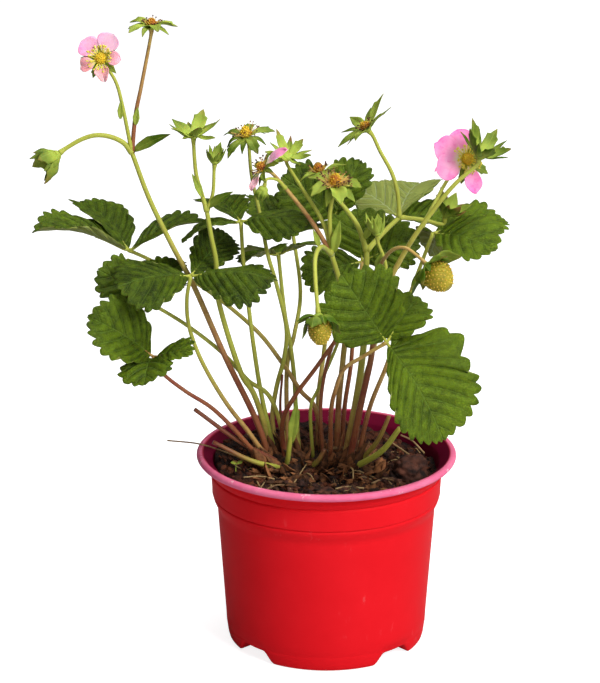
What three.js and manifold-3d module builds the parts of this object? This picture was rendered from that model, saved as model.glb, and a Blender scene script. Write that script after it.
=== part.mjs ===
// A strawberry plant with pink flowers and unripe berries, growing in a round plastic pot.
// Millimetres, +Z up. The origin is the middle of the pot's underside, on the surface that
// it stands on. -Y is the front, +X is to the right of someone who looks at the front.
import * as THREE from "three";
import { mergeVertices } from "three/addons/utils/BufferGeometryUtils.js";
import Module from "manifold-3d";

const wasm = await Module();
wasm.setup();

// Pot: a 13 cm round container with a collar under its rolled rim and four feet.
const POT_HEIGHT = 98.5;
const RIM_RADIUS = 65;
const RIM_ROLL = 3.4;
const COLLAR_RADIUS = 58.2;
const COLLAR_BOTTOM = 77;
const SHOULDER_DROP = 6;
const BODY_TOP_RADIUS = 54.6;
const FOOT_RING_HEIGHT = 8;
const BODY_LOW_RADIUS = 50.6;
const FOOT_INSET = 0.8;
const FOOT_ROUND = 1.4;
const COLLAR_FLARE = 0.9;
const RIM_TOP_ROUND = 1.2;
const POT_WALL = 1.6;
const POT_FACETS = 44;
const ARCH_COUNT = 4;
const ARCH_TURN_DEG = 43;
const ARCH_HEIGHT = 5.8;
const ARCH_WIDTH_LOW = 26;
const ARCH_WIDTH_HIGH = 14;
const ARCH_START = 15;
const DRAIN_RADIUS = 3;
const DRAIN_PLACE = 37;
const DRAIN_FACETS = 12;

// Soil, heaped round the woody crown that stands in it.
const GAP = 0.3;
const SOIL_EDGE_HEIGHT = 88;
const SOIL_EDGE_ROUND = 1.5;
const SOIL_MOUND = 2.6;
const SOIL_MOUND_RADII = [38, 31.6];
const SOIL_LUMP = 1.1;
const SOIL_RINGS = 4;
const SOIL_FACETS = 32;
const CROWN_CENTRE = [-6, -1];
const CROWN_RADII = [31, 16];
const CROWN_PROFILE = [
  [1, 74],
  [1, 90],
  [0.84, 94],
  [0.5, 97],
];
const CROWN_LOBES = 4;
const CROWN_RIPPLE = 0.09;
const CROWN_FACETS = 16;

// Leaves: three toothed leaflets on a small hub at the end of each stalk. The rim is drawn by
// an angle that runs from the base to the tip, as on an oval, and is then drawn towards the tip.
const BLADE_THICKNESS = 0.6;
const BASE_ANGLE = 0.04 * Math.PI;
const TIP_ANGLE = 0.97 * Math.PI;
const RIM_LEAN = 0.8;
const RIB_LEAN = 1.36;
const BLADE_START = 0.8;
const BASE_TAPER = 0.55;
const WIDEST_SCALE = 1.1;
const TEETH = 5;
const NOTCH = 0.82;
const NOTCH_BACK = 0.985;
const HUB_RADIUS = 2;
const LEAF_STALK_RADII = [1.5, 0.95];
const NECK_LENGTH = 3.5;
const STALK_SIDES = 5;

// Blooms: a cup with sepals, and on it the petals, the flower's centre or a berry.
const SEPAL_THICKNESS = 0.6;
const SEPAL_SHOULDER = 0.42;
const BRACT_FACE = [0, -0.8, 0.6];
const BRACT_OUTLINE = [
  [0, 0.55],
  [0.45, 1],
  [1, 0.12],
];
const CUP_HEIGHT = 2.4;
const CUP_RADIUS = 2.3;
const CUP_DISH = 0.6;
const CUP_DOME = 0.3;
const CALYX_BLADES = 10;
const NARROW_SEPAL_LENGTH = 0.84;
const NARROW_SEPAL_LEAN_DEG = 9;
const CENTRE_TURN_DEG = 12;
const CENTRE_LEVEL = 0.6;
const STAMEN_LEANS_DEG = [40, 62];
const STAMEN_BEND_DEG = 12;
const PETAL_COUNT = 5;
const PETAL_RING_RADII = [3.7, 4.7];
const PETAL_RING_THICKNESS = 0.8;
const PETAL_HALF_BREADTH = 0.55;
const PETAL_CUP = 0.18;
const PETAL_OUTLINE = [
  [0, 0.3],
  [0.4, 0.95],
  [0.8, 0.9],
  [1, 0.4],
];
const BERRY_FACETS = 16;
const BERRY_ROWS = 11;
const SEED_RELIEF = 0.45;
const BERRY_NECK_ANGLE = 0.12 * Math.PI;
const BERRY_TIP_ANGLE = 0.95 * Math.PI;
const BERRY_FULLNESS = 0.62;
const BERRY_TAPER = 0.12;

const GREEN_LEAF = 0x3c6a20;
const GREEN_STALK = 0x8d8a3c;
const GREEN_SEPAL = 0x6f9a3c;
const GREEN_YOUNG = 0x9fb45a;
const PINK_PETAL = 0xe47fb8;
const YELLOW_CENTRE = 0xd8b52c;
const BROWN_CENTRE = 0xb06a28;
const YELLOW_BERRY = 0xb5a62e;
const RED_POT = 0xd8141c;
const DARK_SOIL = 0x2b1a12;
const BROWN_BARK = 0x6a3d28;

const part = new THREE.Group();

function material(color, roughness) {
  return new THREE.MeshStandardMaterial({ color, roughness, metalness: 0 });
}

function point(xyz) {
  return new THREE.Vector3(...xyz);
}

// A closed geometry as a solid that can be joined to others and cut.
function solidOf(geometry) {
  const bare = new THREE.BufferGeometry().setAttribute("position", geometry.getAttribute("position"));
  if (geometry.index) bare.setIndex(geometry.index);
  const merged = mergeVertices(bare, 1e-4);
  const mesh = new wasm.Mesh({
    numProp: 3,
    vertProperties: new Float32Array(merged.attributes.position.array),
    triVerts: new Uint32Array(merged.index.array),
  });
  return new wasm.Manifold(mesh);
}

function union(solids) {
  return solids.reduce((whole, next) => whole.add(next));
}

function addPiece(name, solid, color, roughness = 0.6) {
  const { vertProperties, triVerts } = solid.getMesh();
  const geometry = new THREE.BufferGeometry();
  geometry.setAttribute("position", new THREE.BufferAttribute(vertProperties, 3));
  geometry.setIndex(new THREE.BufferAttribute(triVerts, 1));
  geometry.computeVertexNormals();
  const mesh = new THREE.Mesh(geometry, material(color, roughness));
  mesh.name = name;
  part.add(mesh);
}

// A profile of [radius, height] pairs turned about the Z axis.
function turned(profile, facets) {
  const outline = profile.map(([radius, height]) => new THREE.Vector2(radius, height));
  return new THREE.LatheGeometry(outline, facets).rotateX(Math.PI / 2);
}

// Vertices and quads of a grid that closes on itself across, capped by a fan at both ends.
function tubeGeometry(rings) {
  const sides = rings[0].length;
  const positions = rings.flat().flatMap((p) => [p.x, p.y, p.z]);
  const index = [];
  for (let row = 0; row + 1 < rings.length; row++) {
    for (let side = 0; side < sides; side++) {
      const next = (side + 1) % sides;
      const [a, b] = [row * sides + side, row * sides + next];
      const [c, d] = [a + sides, b + sides];
      index.push(a, b, d, a, d, c);
    }
  }
  const last = (rings.length - 1) * sides;
  for (let side = 1; side + 1 < sides; side++) {
    index.push(0, side + 1, side, last, last + side, last + side + 1);
  }
  const geometry = new THREE.BufferGeometry();
  geometry.setAttribute("position", new THREE.Float32BufferAttribute(positions, 3));
  geometry.setIndex(index);
  return geometry;
}

// A stalk through the points, thinning evenly from its root to its end.
function stalk(points, [rootRadius, endRadius]) {
  const curve = new THREE.CatmullRomCurve3(points.map(point), false, "catmullrom", 0.5);
  const steps = points.length - 1;
  const { normals, binormals } = curve.computeFrenetFrames(steps, false);
  const rings = normals.map((normal, step) => {
    const share = step / steps;
    const radius = rootRadius + (endRadius - rootRadius) * share;
    const centre = curve.getPointAt(share);
    return Array.from({ length: STALK_SIDES }, (_, side) => {
      const turn = (2 * Math.PI * side) / STALK_SIDES;
      return centre
        .clone()
        .addScaledVector(normal, radius * Math.cos(turn))
        .addScaledVector(binormals[step], radius * Math.sin(turn));
    });
  });
  return solidOf(tubeGeometry(rings));
}

// A leaf stalk's route with its end drawn back from the hub, to stop just under the knob.
function leafStalkRoute({ route, hub }) {
  const towardsStalk = point(route.at(-1)).sub(point(hub));
  return [...route, point(hub).add(towardsStalk.setLength(HUB_RADIUS + GAP)).toArray()];
}

// The last two points of a flower stalk: it turns into its bloom's axis and stops just under
// the bloom's foot.
function neckOf({ foot, axis }) {
  const direction = point(axis).normalize();
  return [NECK_LENGTH, GAP].map((away) => point(foot).addScaledVector(direction, -away).toArray());
}

// A thin plate over rows of points, which run from its left edge to its right: each point
// moves half a thickness along its row's normal to both sides. Both faces are split alike.
function plate(rows, thickness) {
  const lift = (row, half) => row.points.map((p) => p.clone().addScaledVector(row.normal, half));
  const top = rows.flatMap((row) => lift(row, thickness / 2));
  const under = rows.flatMap((row) => lift(row, -thickness / 2));
  const across = rows[0].points.length;
  const offset = top.length;
  const index = [];
  const quad = (a, b, c, d) => index.push(a, b, c, a, c, d);
  for (let row = 0; row + 1 < rows.length; row++) {
    const near = row * across;
    const far = near + across;
    for (let k = 0; k + 1 < across; k++) {
      const corners = [near + k, near + k + 1, far + k + 1, far + k];
      const [a, b, c, d] = corners;
      if (k * 2 < across - 1) quad(b, c, d, a);
      else quad(a, b, c, d);
      const [e, f, g, h] = corners.map((corner) => corner + offset);
      if (k * 2 < across - 1) index.push(f, h, g, f, e, h);
      else index.push(e, g, f, e, h, g);
    }
    quad(near, far, far + offset, near + offset);
    const right = across - 1;
    quad(near + right, near + right + offset, far + right + offset, far + right);
  }
  const lastRow = (rows.length - 1) * across;
  for (let k = 0; k + 1 < across; k++) {
    quad(k, k + offset, k + 1 + offset, k + 1);
    quad(lastRow + k, lastRow + k + 1, lastRow + k + 1 + offset, lastRow + k + offset);
  }
  const geometry = new THREE.BufferGeometry();
  const positions = [...top, ...under].flatMap((p) => [p.x, p.y, p.z]);
  geometry.setAttribute("position", new THREE.Float32BufferAttribute(positions, 3));
  geometry.setIndex(index);
  return solidOf(geometry);
}

// Axes of a blade that runs from base to tip with its upper side turned to face.
function bladeFrame(base, tip, face) {
  const along = tip.clone().sub(base);
  const length = along.length();
  along.normalize();
  const up = face.clone().addScaledVector(along, -face.dot(along)).normalize();
  const side = new THREE.Vector3().crossVectors(along, up);
  return { along, up, side, length };
}

// One leaflet: its rim is a rounded wedge, cut into teeth beyond the narrow base. Rows run
// from the rib forwards to the rim, as the side veins do. A skewed one is wider on one side.
function leaflet(hub, { tip, width, face, fold = 0.2, bulge = 0.08, skew = 0 }) {
  const { along, up, side, length } = bladeFrame(hub, point(tip), point(face));
  const rowCount = 2 * TEETH + 1;
  const rows = [];
  for (let row = 0; row <= rowCount; row++) {
    const angle = BASE_ANGLE + ((TIP_ANGLE - BASE_ANGLE) * row) / rowCount;
    const nearTip = (1 - Math.cos(angle)) / 2;
    const isNotch = row > 0 && row % 2 === 0;
    const rimAlong = nearTip ** RIM_LEAN * (isNotch ? NOTCH_BACK : 1);
    const ribAlong = nearTip ** RIB_LEAN;
    const roundness = Math.sin(angle) * (1 - BASE_TAPER * (1 - nearTip) ** 2);
    const across = (width / 2) * WIDEST_SCALE * roundness * (isNotch ? NOTCH : 1);
    const place = (share, sideways) =>
      hub
        .clone()
        .addScaledVector(along, BLADE_START + (length - BLADE_START) * share)
        .addScaledVector(side, sideways)
        .addScaledVector(up, bulge * length * Math.sin(Math.PI * share) + fold * Math.abs(sideways));
    rows.push({
      points: [
        place(rimAlong, -across * (1 + skew)),
        place(ribAlong, 0),
        place(rimAlong, across * (1 - skew)),
      ],
      normal: up,
    });
  }
  return plate(rows, BLADE_THICKNESS);
}

// A leaf's leaflets grow from a small knob, one corner of which faces the end of the stalk.
function leaf({ hub, route, leaflets }) {
  const centre = point(hub);
  const towardsStalk = point(route.at(-1)).sub(centre).normalize();
  const turn = new THREE.Quaternion().setFromUnitVectors(new THREE.Vector3(0, 0, 1), towardsStalk);
  const knob = new THREE.OctahedronGeometry(HUB_RADIUS, 0).applyQuaternion(turn).translate(...hub);
  return union([solidOf(knob), ...leaflets.map((each) => leaflet(centre, each))]);
}

// A bract: a small straight blade that sheathes the foot of a branch.
function bract({ base, tip, width }) {
  const { along, up, side, length } = bladeFrame(point(base), point(tip), point(BRACT_FACE));
  const rows = BRACT_OUTLINE.map(([share, breadth]) => {
    const middle = point(base).addScaledVector(along, length * share);
    const edges = [-1, 1].map((hand) => middle.clone().addScaledVector(side, (hand * width * breadth) / 2));
    return { points: edges, normal: up };
  });
  return plate(rows, SEPAL_THICKNESS);
}

// Two directions square to an axis and to each other.
function squareTo(axis) {
  const guide = Math.abs(axis.z) < 0.9 ? new THREE.Vector3(0, 0, 1) : new THREE.Vector3(0, -1, 0);
  const first = new THREE.Vector3().crossVectors(axis, guide).normalize();
  const second = new THREE.Vector3().crossVectors(axis, first).normalize();
  return [first, second];
}

// Calls make(outward, number) for count directions spread evenly round the axis.
function around(axis, count, turnDeg, make) {
  const [first, second] = squareTo(axis);
  return Array.from({ length: count }, (_, number) => {
    const turn = (2 * Math.PI * number) / count + THREE.MathUtils.degToRad(turnDeg);
    const outward = first.clone().multiplyScalar(Math.cos(turn)).addScaledVector(second, Math.sin(turn));
    return make(outward, number);
  });
}

// A turned profile of [radius, height] pairs stood on an axis.
function turnedOn(axis, foot, profile, facets) {
  const turn = new THREE.Quaternion().setFromUnitVectors(new THREE.Vector3(0, 0, 1), axis);
  return turned(profile, facets).applyQuaternion(turn).translate(foot.x, foot.y, foot.z);
}

// A star of pointed blades round an axis: they join in a ring at their feet, which stands on
// a cone that comes to a point at the foot and bears a low dome. A blade without a width
// narrows straight from the ring to its tip.
function star({ foot, axis, level, dome, rootRadius, turnDeg, blades }) {
  const half = SEPAL_THICKNESS / 2;
  const hub = foot.clone().addScaledVector(axis, level);
  const top = [];
  const under = [];
  const put = (place, normal) => {
    under.push(place.clone().addScaledVector(normal, -half));
    return top.push(place.clone().addScaledVector(normal, half)) - 1;
  };
  const halfTurn = 180 / blades.length;
  const feet = around(axis, blades.length, turnDeg - halfTurn, (outward) =>
    put(hub.clone().addScaledVector(outward, rootRadius), axis),
  );
  const outlines = around(axis, blades.length, turnDeg, (outward, number) => {
    const { length, width, startDeg, endDeg } = blades[number];
    const cross = new THREE.Vector3().crossVectors(axis, outward);
    const reach = (fromPlace, share, angleDeg) => {
      const angle = THREE.MathUtils.degToRad(angleDeg);
      const place = fromPlace
        .clone()
        .addScaledVector(axis, length * share * Math.cos(angle))
        .addScaledVector(outward, length * share * Math.sin(angle));
      const normal = axis.clone().multiplyScalar(Math.sin(angle));
      return [place, normal.addScaledVector(outward, -Math.cos(angle))];
    };
    const root = hub.clone().addScaledVector(outward, rootRadius);
    const [middle, middleNormal] = reach(root, SEPAL_SHOULDER, startDeg);
    const [tip, tipNormal] = reach(middle, 1 - SEPAL_SHOULDER, endDeg);
    const shoulder = (side) => put(middle.clone().addScaledVector(cross, side * width), middleNormal);
    const crest = width ? [shoulder(-0.5), put(tip, tipNormal), shoulder(0.5)] : [put(tip, tipNormal)];
    return [feet[number], ...crest, feet[(number + 1) % blades.length]];
  });
  const places = [...top, ...under];
  const dished = places.push(hub.clone().addScaledVector(axis, half + dome)) - 1;
  const pointed = places.push(foot.clone()) - 1;
  const below = (k) => k + top.length;
  const index = [];
  const bothFaces = (a, b, c) => index.push(a, b, c, below(a), below(c), below(b));
  for (const outline of outlines) {
    const [left, right] = [outline[0], outline.at(-1)];
    index.push(dished, left, right, pointed, below(right), below(left));
    if (outline.length > 3) {
      const [, near, tip, far] = outline;
      bothFaces(left, near, far);
      bothFaces(left, far, right);
      bothFaces(near, tip, far);
    } else {
      bothFaces(left, outline[1], right);
    }
    outline.slice(1).forEach((to, k) => {
      const from = outline[k];
      index.push(below(from), below(to), to, below(from), to, from);
    });
  }
  const geometry = new THREE.BufferGeometry();
  const positions = places.flatMap((p) => [p.x, p.y, p.z]);
  geometry.setAttribute("position", new THREE.Float32BufferAttribute(positions, 3));
  geometry.setIndex(index);
  return solidOf(geometry);
}

// The green base of a bloom: five broad sepals with five narrow ones between them.
function calyx({ foot, axis, sepal, width = 0.46, startDeg = 60, endDeg = 80, turnDeg = 0 }) {
  const broad = { length: sepal, width: sepal * width, startDeg, endDeg };
  const narrow = {
    length: sepal * NARROW_SEPAL_LENGTH,
    startDeg: startDeg + NARROW_SEPAL_LEAN_DEG,
    endDeg: endDeg + NARROW_SEPAL_LEAN_DEG,
  };
  return star({
    foot: point(foot),
    axis: point(axis).normalize(),
    level: CUP_HEIGHT - CUP_DISH,
    dome: CUP_DOME,
    rootRadius: CUP_RADIUS,
    turnDeg,
    blades: Array.from({ length: CALYX_BLADES }, (_, k) => (k % 2 ? narrow : broad)),
  });
}

// The dome of pistils with a ring of stamens, or what is left of them.
function flowerCentre({ foot, axis, radius, height, stamens, reach = 3.4 }) {
  const direction = point(axis).normalize();
  const leaning = (startDeg) => ({ length: reach, startDeg, endDeg: startDeg - STAMEN_BEND_DEG });
  return star({
    foot: point(foot).addScaledVector(direction, CUP_HEIGHT + GAP),
    axis: direction,
    level: CENTRE_LEVEL,
    dome: height,
    rootRadius: radius,
    turnDeg: CENTRE_TURN_DEG,
    blades: Array.from({ length: stamens }, (_, k) => leaning(STAMEN_LEANS_DEG[k % 2])),
  });
}

// Cupped round petals joined by a thin ring that lies over the sepals.
function petals({ foot, axis, radius, present, startDeg = 62, endDeg = 78, turnDeg = 0 }) {
  const direction = point(axis).normalize();
  const level = point(foot).addScaledVector(direction, CUP_HEIGHT + GAP);
  const [innerRadius, outerRadius] = PETAL_RING_RADII;
  const ring = turnedOn(
    direction,
    level,
    [
      [innerRadius, 0],
      [outerRadius, 0],
      [outerRadius, PETAL_RING_THICKNESS],
      [innerRadius, PETAL_RING_THICKNESS],
      [innerRadius, 0],
    ],
    2 * PETAL_COUNT,
  );
  const ringMiddle = (innerRadius + outerRadius) / 2;
  const blades = around(direction, PETAL_COUNT, turnDeg, (outward, number) => {
    const size = present[number];
    if (!size) return null;
    const cross = new THREE.Vector3().crossVectors(direction, outward).normalize();
    const root = level
      .clone()
      .addScaledVector(direction, PETAL_RING_THICKNESS / 2)
      .addScaledVector(outward, ringMiddle);
    const rows = [];
    const centre = root.clone();
    let reached = 0;
    for (const [share, breadth] of PETAL_OUTLINE) {
      const angle = THREE.MathUtils.degToRad(startDeg + (endDeg - startDeg) * share);
      const step = radius * size * (share - reached);
      centre.addScaledVector(direction, step * Math.cos(angle));
      centre.addScaledVector(outward, step * Math.sin(angle));
      const normal = direction
        .clone()
        .multiplyScalar(Math.sin(angle))
        .addScaledVector(outward, -Math.cos(angle));
      const half = radius * size * PETAL_HALF_BREADTH * breadth;
      const points = [1, 0, -1].map((place) =>
        centre
          .clone()
          .addScaledVector(cross, half * place)
          .addScaledVector(normal, PETAL_CUP * half * Math.abs(place)),
      );
      rows.push({ points, normal });
      reached = share;
    }
    return plate(rows, SEPAL_THICKNESS);
  });
  return union([solidOf(ring), ...blades.filter(Boolean)]);
}

// An unripe berry: a blunt cone whose skin bulges between the seeds, which sit in rows.
function berry({ foot, axis, radius, length }) {
  const direction = point(axis).normalize();
  const [first, second] = squareTo(direction);
  const base = point(foot).addScaledVector(direction, CUP_HEIGHT + GAP);
  const rings = Array.from({ length: BERRY_ROWS }, (_, row) => {
    const share = row / (BERRY_ROWS - 1);
    const angle = BERRY_NECK_ANGLE + (BERRY_TIP_ANGLE - BERRY_NECK_ANGLE) * share;
    const swell = Math.sin(angle) ** BERRY_FULLNESS * (1 - BERRY_TAPER * share);
    const isEnd = row === 0 || row === BERRY_ROWS - 1;
    const centre = base.clone().addScaledVector(direction, length * share);
    return Array.from({ length: BERRY_FACETS }, (_, facet) => {
      const turn = (2 * Math.PI * facet) / BERRY_FACETS;
      const reach = radius * swell + (!isEnd && (row + facet) % 2 ? SEED_RELIEF : 0);
      return centre
        .clone()
        .addScaledVector(first, reach * Math.cos(turn))
        .addScaledVector(second, reach * Math.sin(turn));
    });
  });
  return solidOf(tubeGeometry(rings));
}

function makePot() {
  const shoulder = COLLAR_BOTTOM - SHOULDER_DROP;
  const lip = RIM_RADIUS - RIM_ROLL;
  const outer = [
    [0, 0],
    [BODY_LOW_RADIUS - FOOT_INSET - FOOT_ROUND, 0],
    [BODY_LOW_RADIUS - FOOT_INSET - FOOT_ROUND / 4, FOOT_ROUND],
    [BODY_LOW_RADIUS, FOOT_RING_HEIGHT],
    [BODY_TOP_RADIUS, shoulder],
    [COLLAR_RADIUS - COLLAR_FLARE, COLLAR_BOTTOM],
    [COLLAR_RADIUS, POT_HEIGHT - RIM_ROLL],
    [RIM_RADIUS - RIM_TOP_ROUND / 2, POT_HEIGHT - RIM_ROLL],
    [RIM_RADIUS, POT_HEIGHT - RIM_ROLL / 2],
    [RIM_RADIUS - RIM_TOP_ROUND, POT_HEIGHT],
    [lip, POT_HEIGHT],
    [0, POT_HEIGHT],
  ];
  const cavity = [
    [0, POT_WALL],
    [BODY_LOW_RADIUS - FOOT_INSET - POT_WALL, POT_WALL],
    [BODY_LOW_RADIUS - POT_WALL, FOOT_RING_HEIGHT],
    [BODY_TOP_RADIUS - POT_WALL, shoulder],
    [COLLAR_RADIUS - COLLAR_FLARE - POT_WALL, COLLAR_BOTTOM],
    [COLLAR_RADIUS - POT_WALL, POT_HEIGHT - RIM_ROLL],
    [lip, POT_HEIGHT],
    [lip, POT_HEIGHT + 1],
    [0, POT_HEIGHT + 1],
  ];
  const channel = (grow) => {
    const low = ARCH_WIDTH_LOW / 2 + grow;
    const high = ARCH_WIDTH_HIGH / 2 + grow;
    const top = ARCH_HEIGHT + grow;
    const outline = new THREE.Shape([
      new THREE.Vector2(-low, -1),
      new THREE.Vector2(low, -1),
      new THREE.Vector2(high, top),
      new THREE.Vector2(-high, top),
    ]);
    const reach = RIM_RADIUS - ARCH_START + grow;
    const bar = new THREE.ExtrudeGeometry(outline, { depth: reach, bevelEnabled: false });
    return bar.rotateX(Math.PI / 2).translate(0, -(ARCH_START - grow), 0);
  };
  const turns = Array.from(
    { length: ARCH_COUNT },
    (_, k) => THREE.MathUtils.degToRad(ARCH_TURN_DEG) + (2 * Math.PI * k) / ARCH_COUNT,
  );
  const channels = (grow) => union(turns.map((turn) => solidOf(channel(grow).rotateZ(turn))));
  const drains = turns.map((turn) => {
    const drain = new THREE.CylinderGeometry(DRAIN_RADIUS, DRAIN_RADIUS, 2 * ARCH_HEIGHT, DRAIN_FACETS);
    drain.rotateX(Math.PI / 2).translate(0, -DRAIN_PLACE, ARCH_HEIGHT);
    return solidOf(drain.rotateZ(turn));
  });
  const hollow = solidOf(turned(cavity, POT_FACETS)).subtract(channels(POT_WALL));
  return solidOf(turned(outer, POT_FACETS))
    .subtract(channels(0))
    .subtract(hollow)
    .subtract(union(drains));
}

// The wall's inner radius at a height between the foot ring and the collar's top.
function innerRadius(height) {
  const shoulder = COLLAR_BOTTOM - SHOULDER_DROP;
  const steps = [
    [FOOT_RING_HEIGHT, BODY_LOW_RADIUS],
    [shoulder, BODY_TOP_RADIUS],
    [COLLAR_BOTTOM, COLLAR_RADIUS - COLLAR_FLARE],
    [POT_HEIGHT - RIM_ROLL, COLLAR_RADIUS],
  ];
  const above = Math.max(1, steps.findIndex(([level]) => level >= height));
  const [[lowLevel, lowRadius], [highLevel, highRadius]] = [steps[above - 1], steps[above]];
  const share = (height - lowLevel) / (highLevel - lowLevel);
  return lowRadius + (highRadius - lowRadius) * share - POT_WALL;
}

// The soil's surface: a low mound round the crown, with shallow lumps all over.
function soilHeight(x, y) {
  const away = Math.hypot(
    (x - CROWN_CENTRE[0]) / SOIL_MOUND_RADII[0],
    (y - CROWN_CENTRE[1]) / SOIL_MOUND_RADII[1],
  );
  const lump = Math.sin(x * 0.31 + 1.3) * Math.cos(y * 0.27 - x * 0.11);
  return SOIL_EDGE_HEIGHT + SOIL_MOUND * Math.exp(-away * away) + SOIL_LUMP * lump;
}

function barkLump({ at, size, turnDeg }, grow = 0) {
  const lump = new THREE.IcosahedronGeometry(1, 1).scale(...size.map((half) => half + grow));
  return solidOf(lump.rotateZ(THREE.MathUtils.degToRad(turnDeg)).translate(...at));
}

function makeSoil() {
  const shoulder = COLLAR_BOTTOM - SHOULDER_DROP;
  const bottom = ARCH_HEIGHT + POT_WALL + GAP;
  const edgeHeight = SOIL_EDGE_HEIGHT - SOIL_EDGE_ROUND;
  const wall = [bottom, shoulder, COLLAR_BOTTOM, edgeHeight];
  const ring = (radius, heightAt) =>
    Array.from({ length: SOIL_FACETS }, (_, facet) => {
      const turn = (2 * Math.PI * facet) / SOIL_FACETS;
      const [x, y] = [radius * Math.cos(turn), radius * Math.sin(turn)];
      return new THREE.Vector3(x, y, heightAt(x, y));
    });
  const sides = wall.map((level) => ring(innerRadius(level) - GAP, () => level));
  const edge = innerRadius(edgeHeight) - GAP;
  const surface = Array.from({ length: SOIL_RINGS }, (_, k) => ring(edge * (1 - k / SOIL_RINGS), soilHeight));
  const body = solidOf(tubeGeometry([...sides, ...surface]));
  const crownBottom = CROWN_PROFILE[0][1] - GAP;
  const hole = new THREE.CylinderGeometry(1, 1, POT_HEIGHT - crownBottom, CROWN_FACETS);
  hole.rotateX(Math.PI / 2).scale(CROWN_RADII[0] + GAP, CROWN_RADII[1] + GAP, 1);
  hole.translate(...CROWN_CENTRE, (POT_HEIGHT + crownBottom) / 2);
  const dents = BARK_LUMPS.map((spec) => barkLump(spec, GAP));
  return body.subtract(union([solidOf(hole), ...dents]));
}

// Crown: a woody plug with a rippled top, and the stubs of old stalks.
const STUBS = [
  { route: [[-20, -6, 92], [-44, -18, 103], [-62, -22, 114]], radii: [1.5, 1.2] },
  { route: [[-18, -8, 92], [-34, -20, 97], [-52, -24, 99]], radii: [1.6, 1.2] },
  { route: [[14, -8, 92], [26, -18, 98], [34, -20, 107]], radii: [2.1, 1.8] },
  { route: [[15, -4, 92], [24, -8, 99], [29, -9, 109]], radii: [1.8, 1.4] },
  { route: [[-16, -8, 92], [-15, -13, 100], [-13, -14, 112], [-11, -14, 119]], radii: [2, 2.6] },
  { route: [[-20, 2, 92], [-23, 3, 118], [-22, 3, 137]], radii: [0.8, 0.6] },
  { route: [[-8, -9, 92], [-4, -14, 98], [-1, -15, 104]], radii: [1.7, 1.3] },
];

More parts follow.
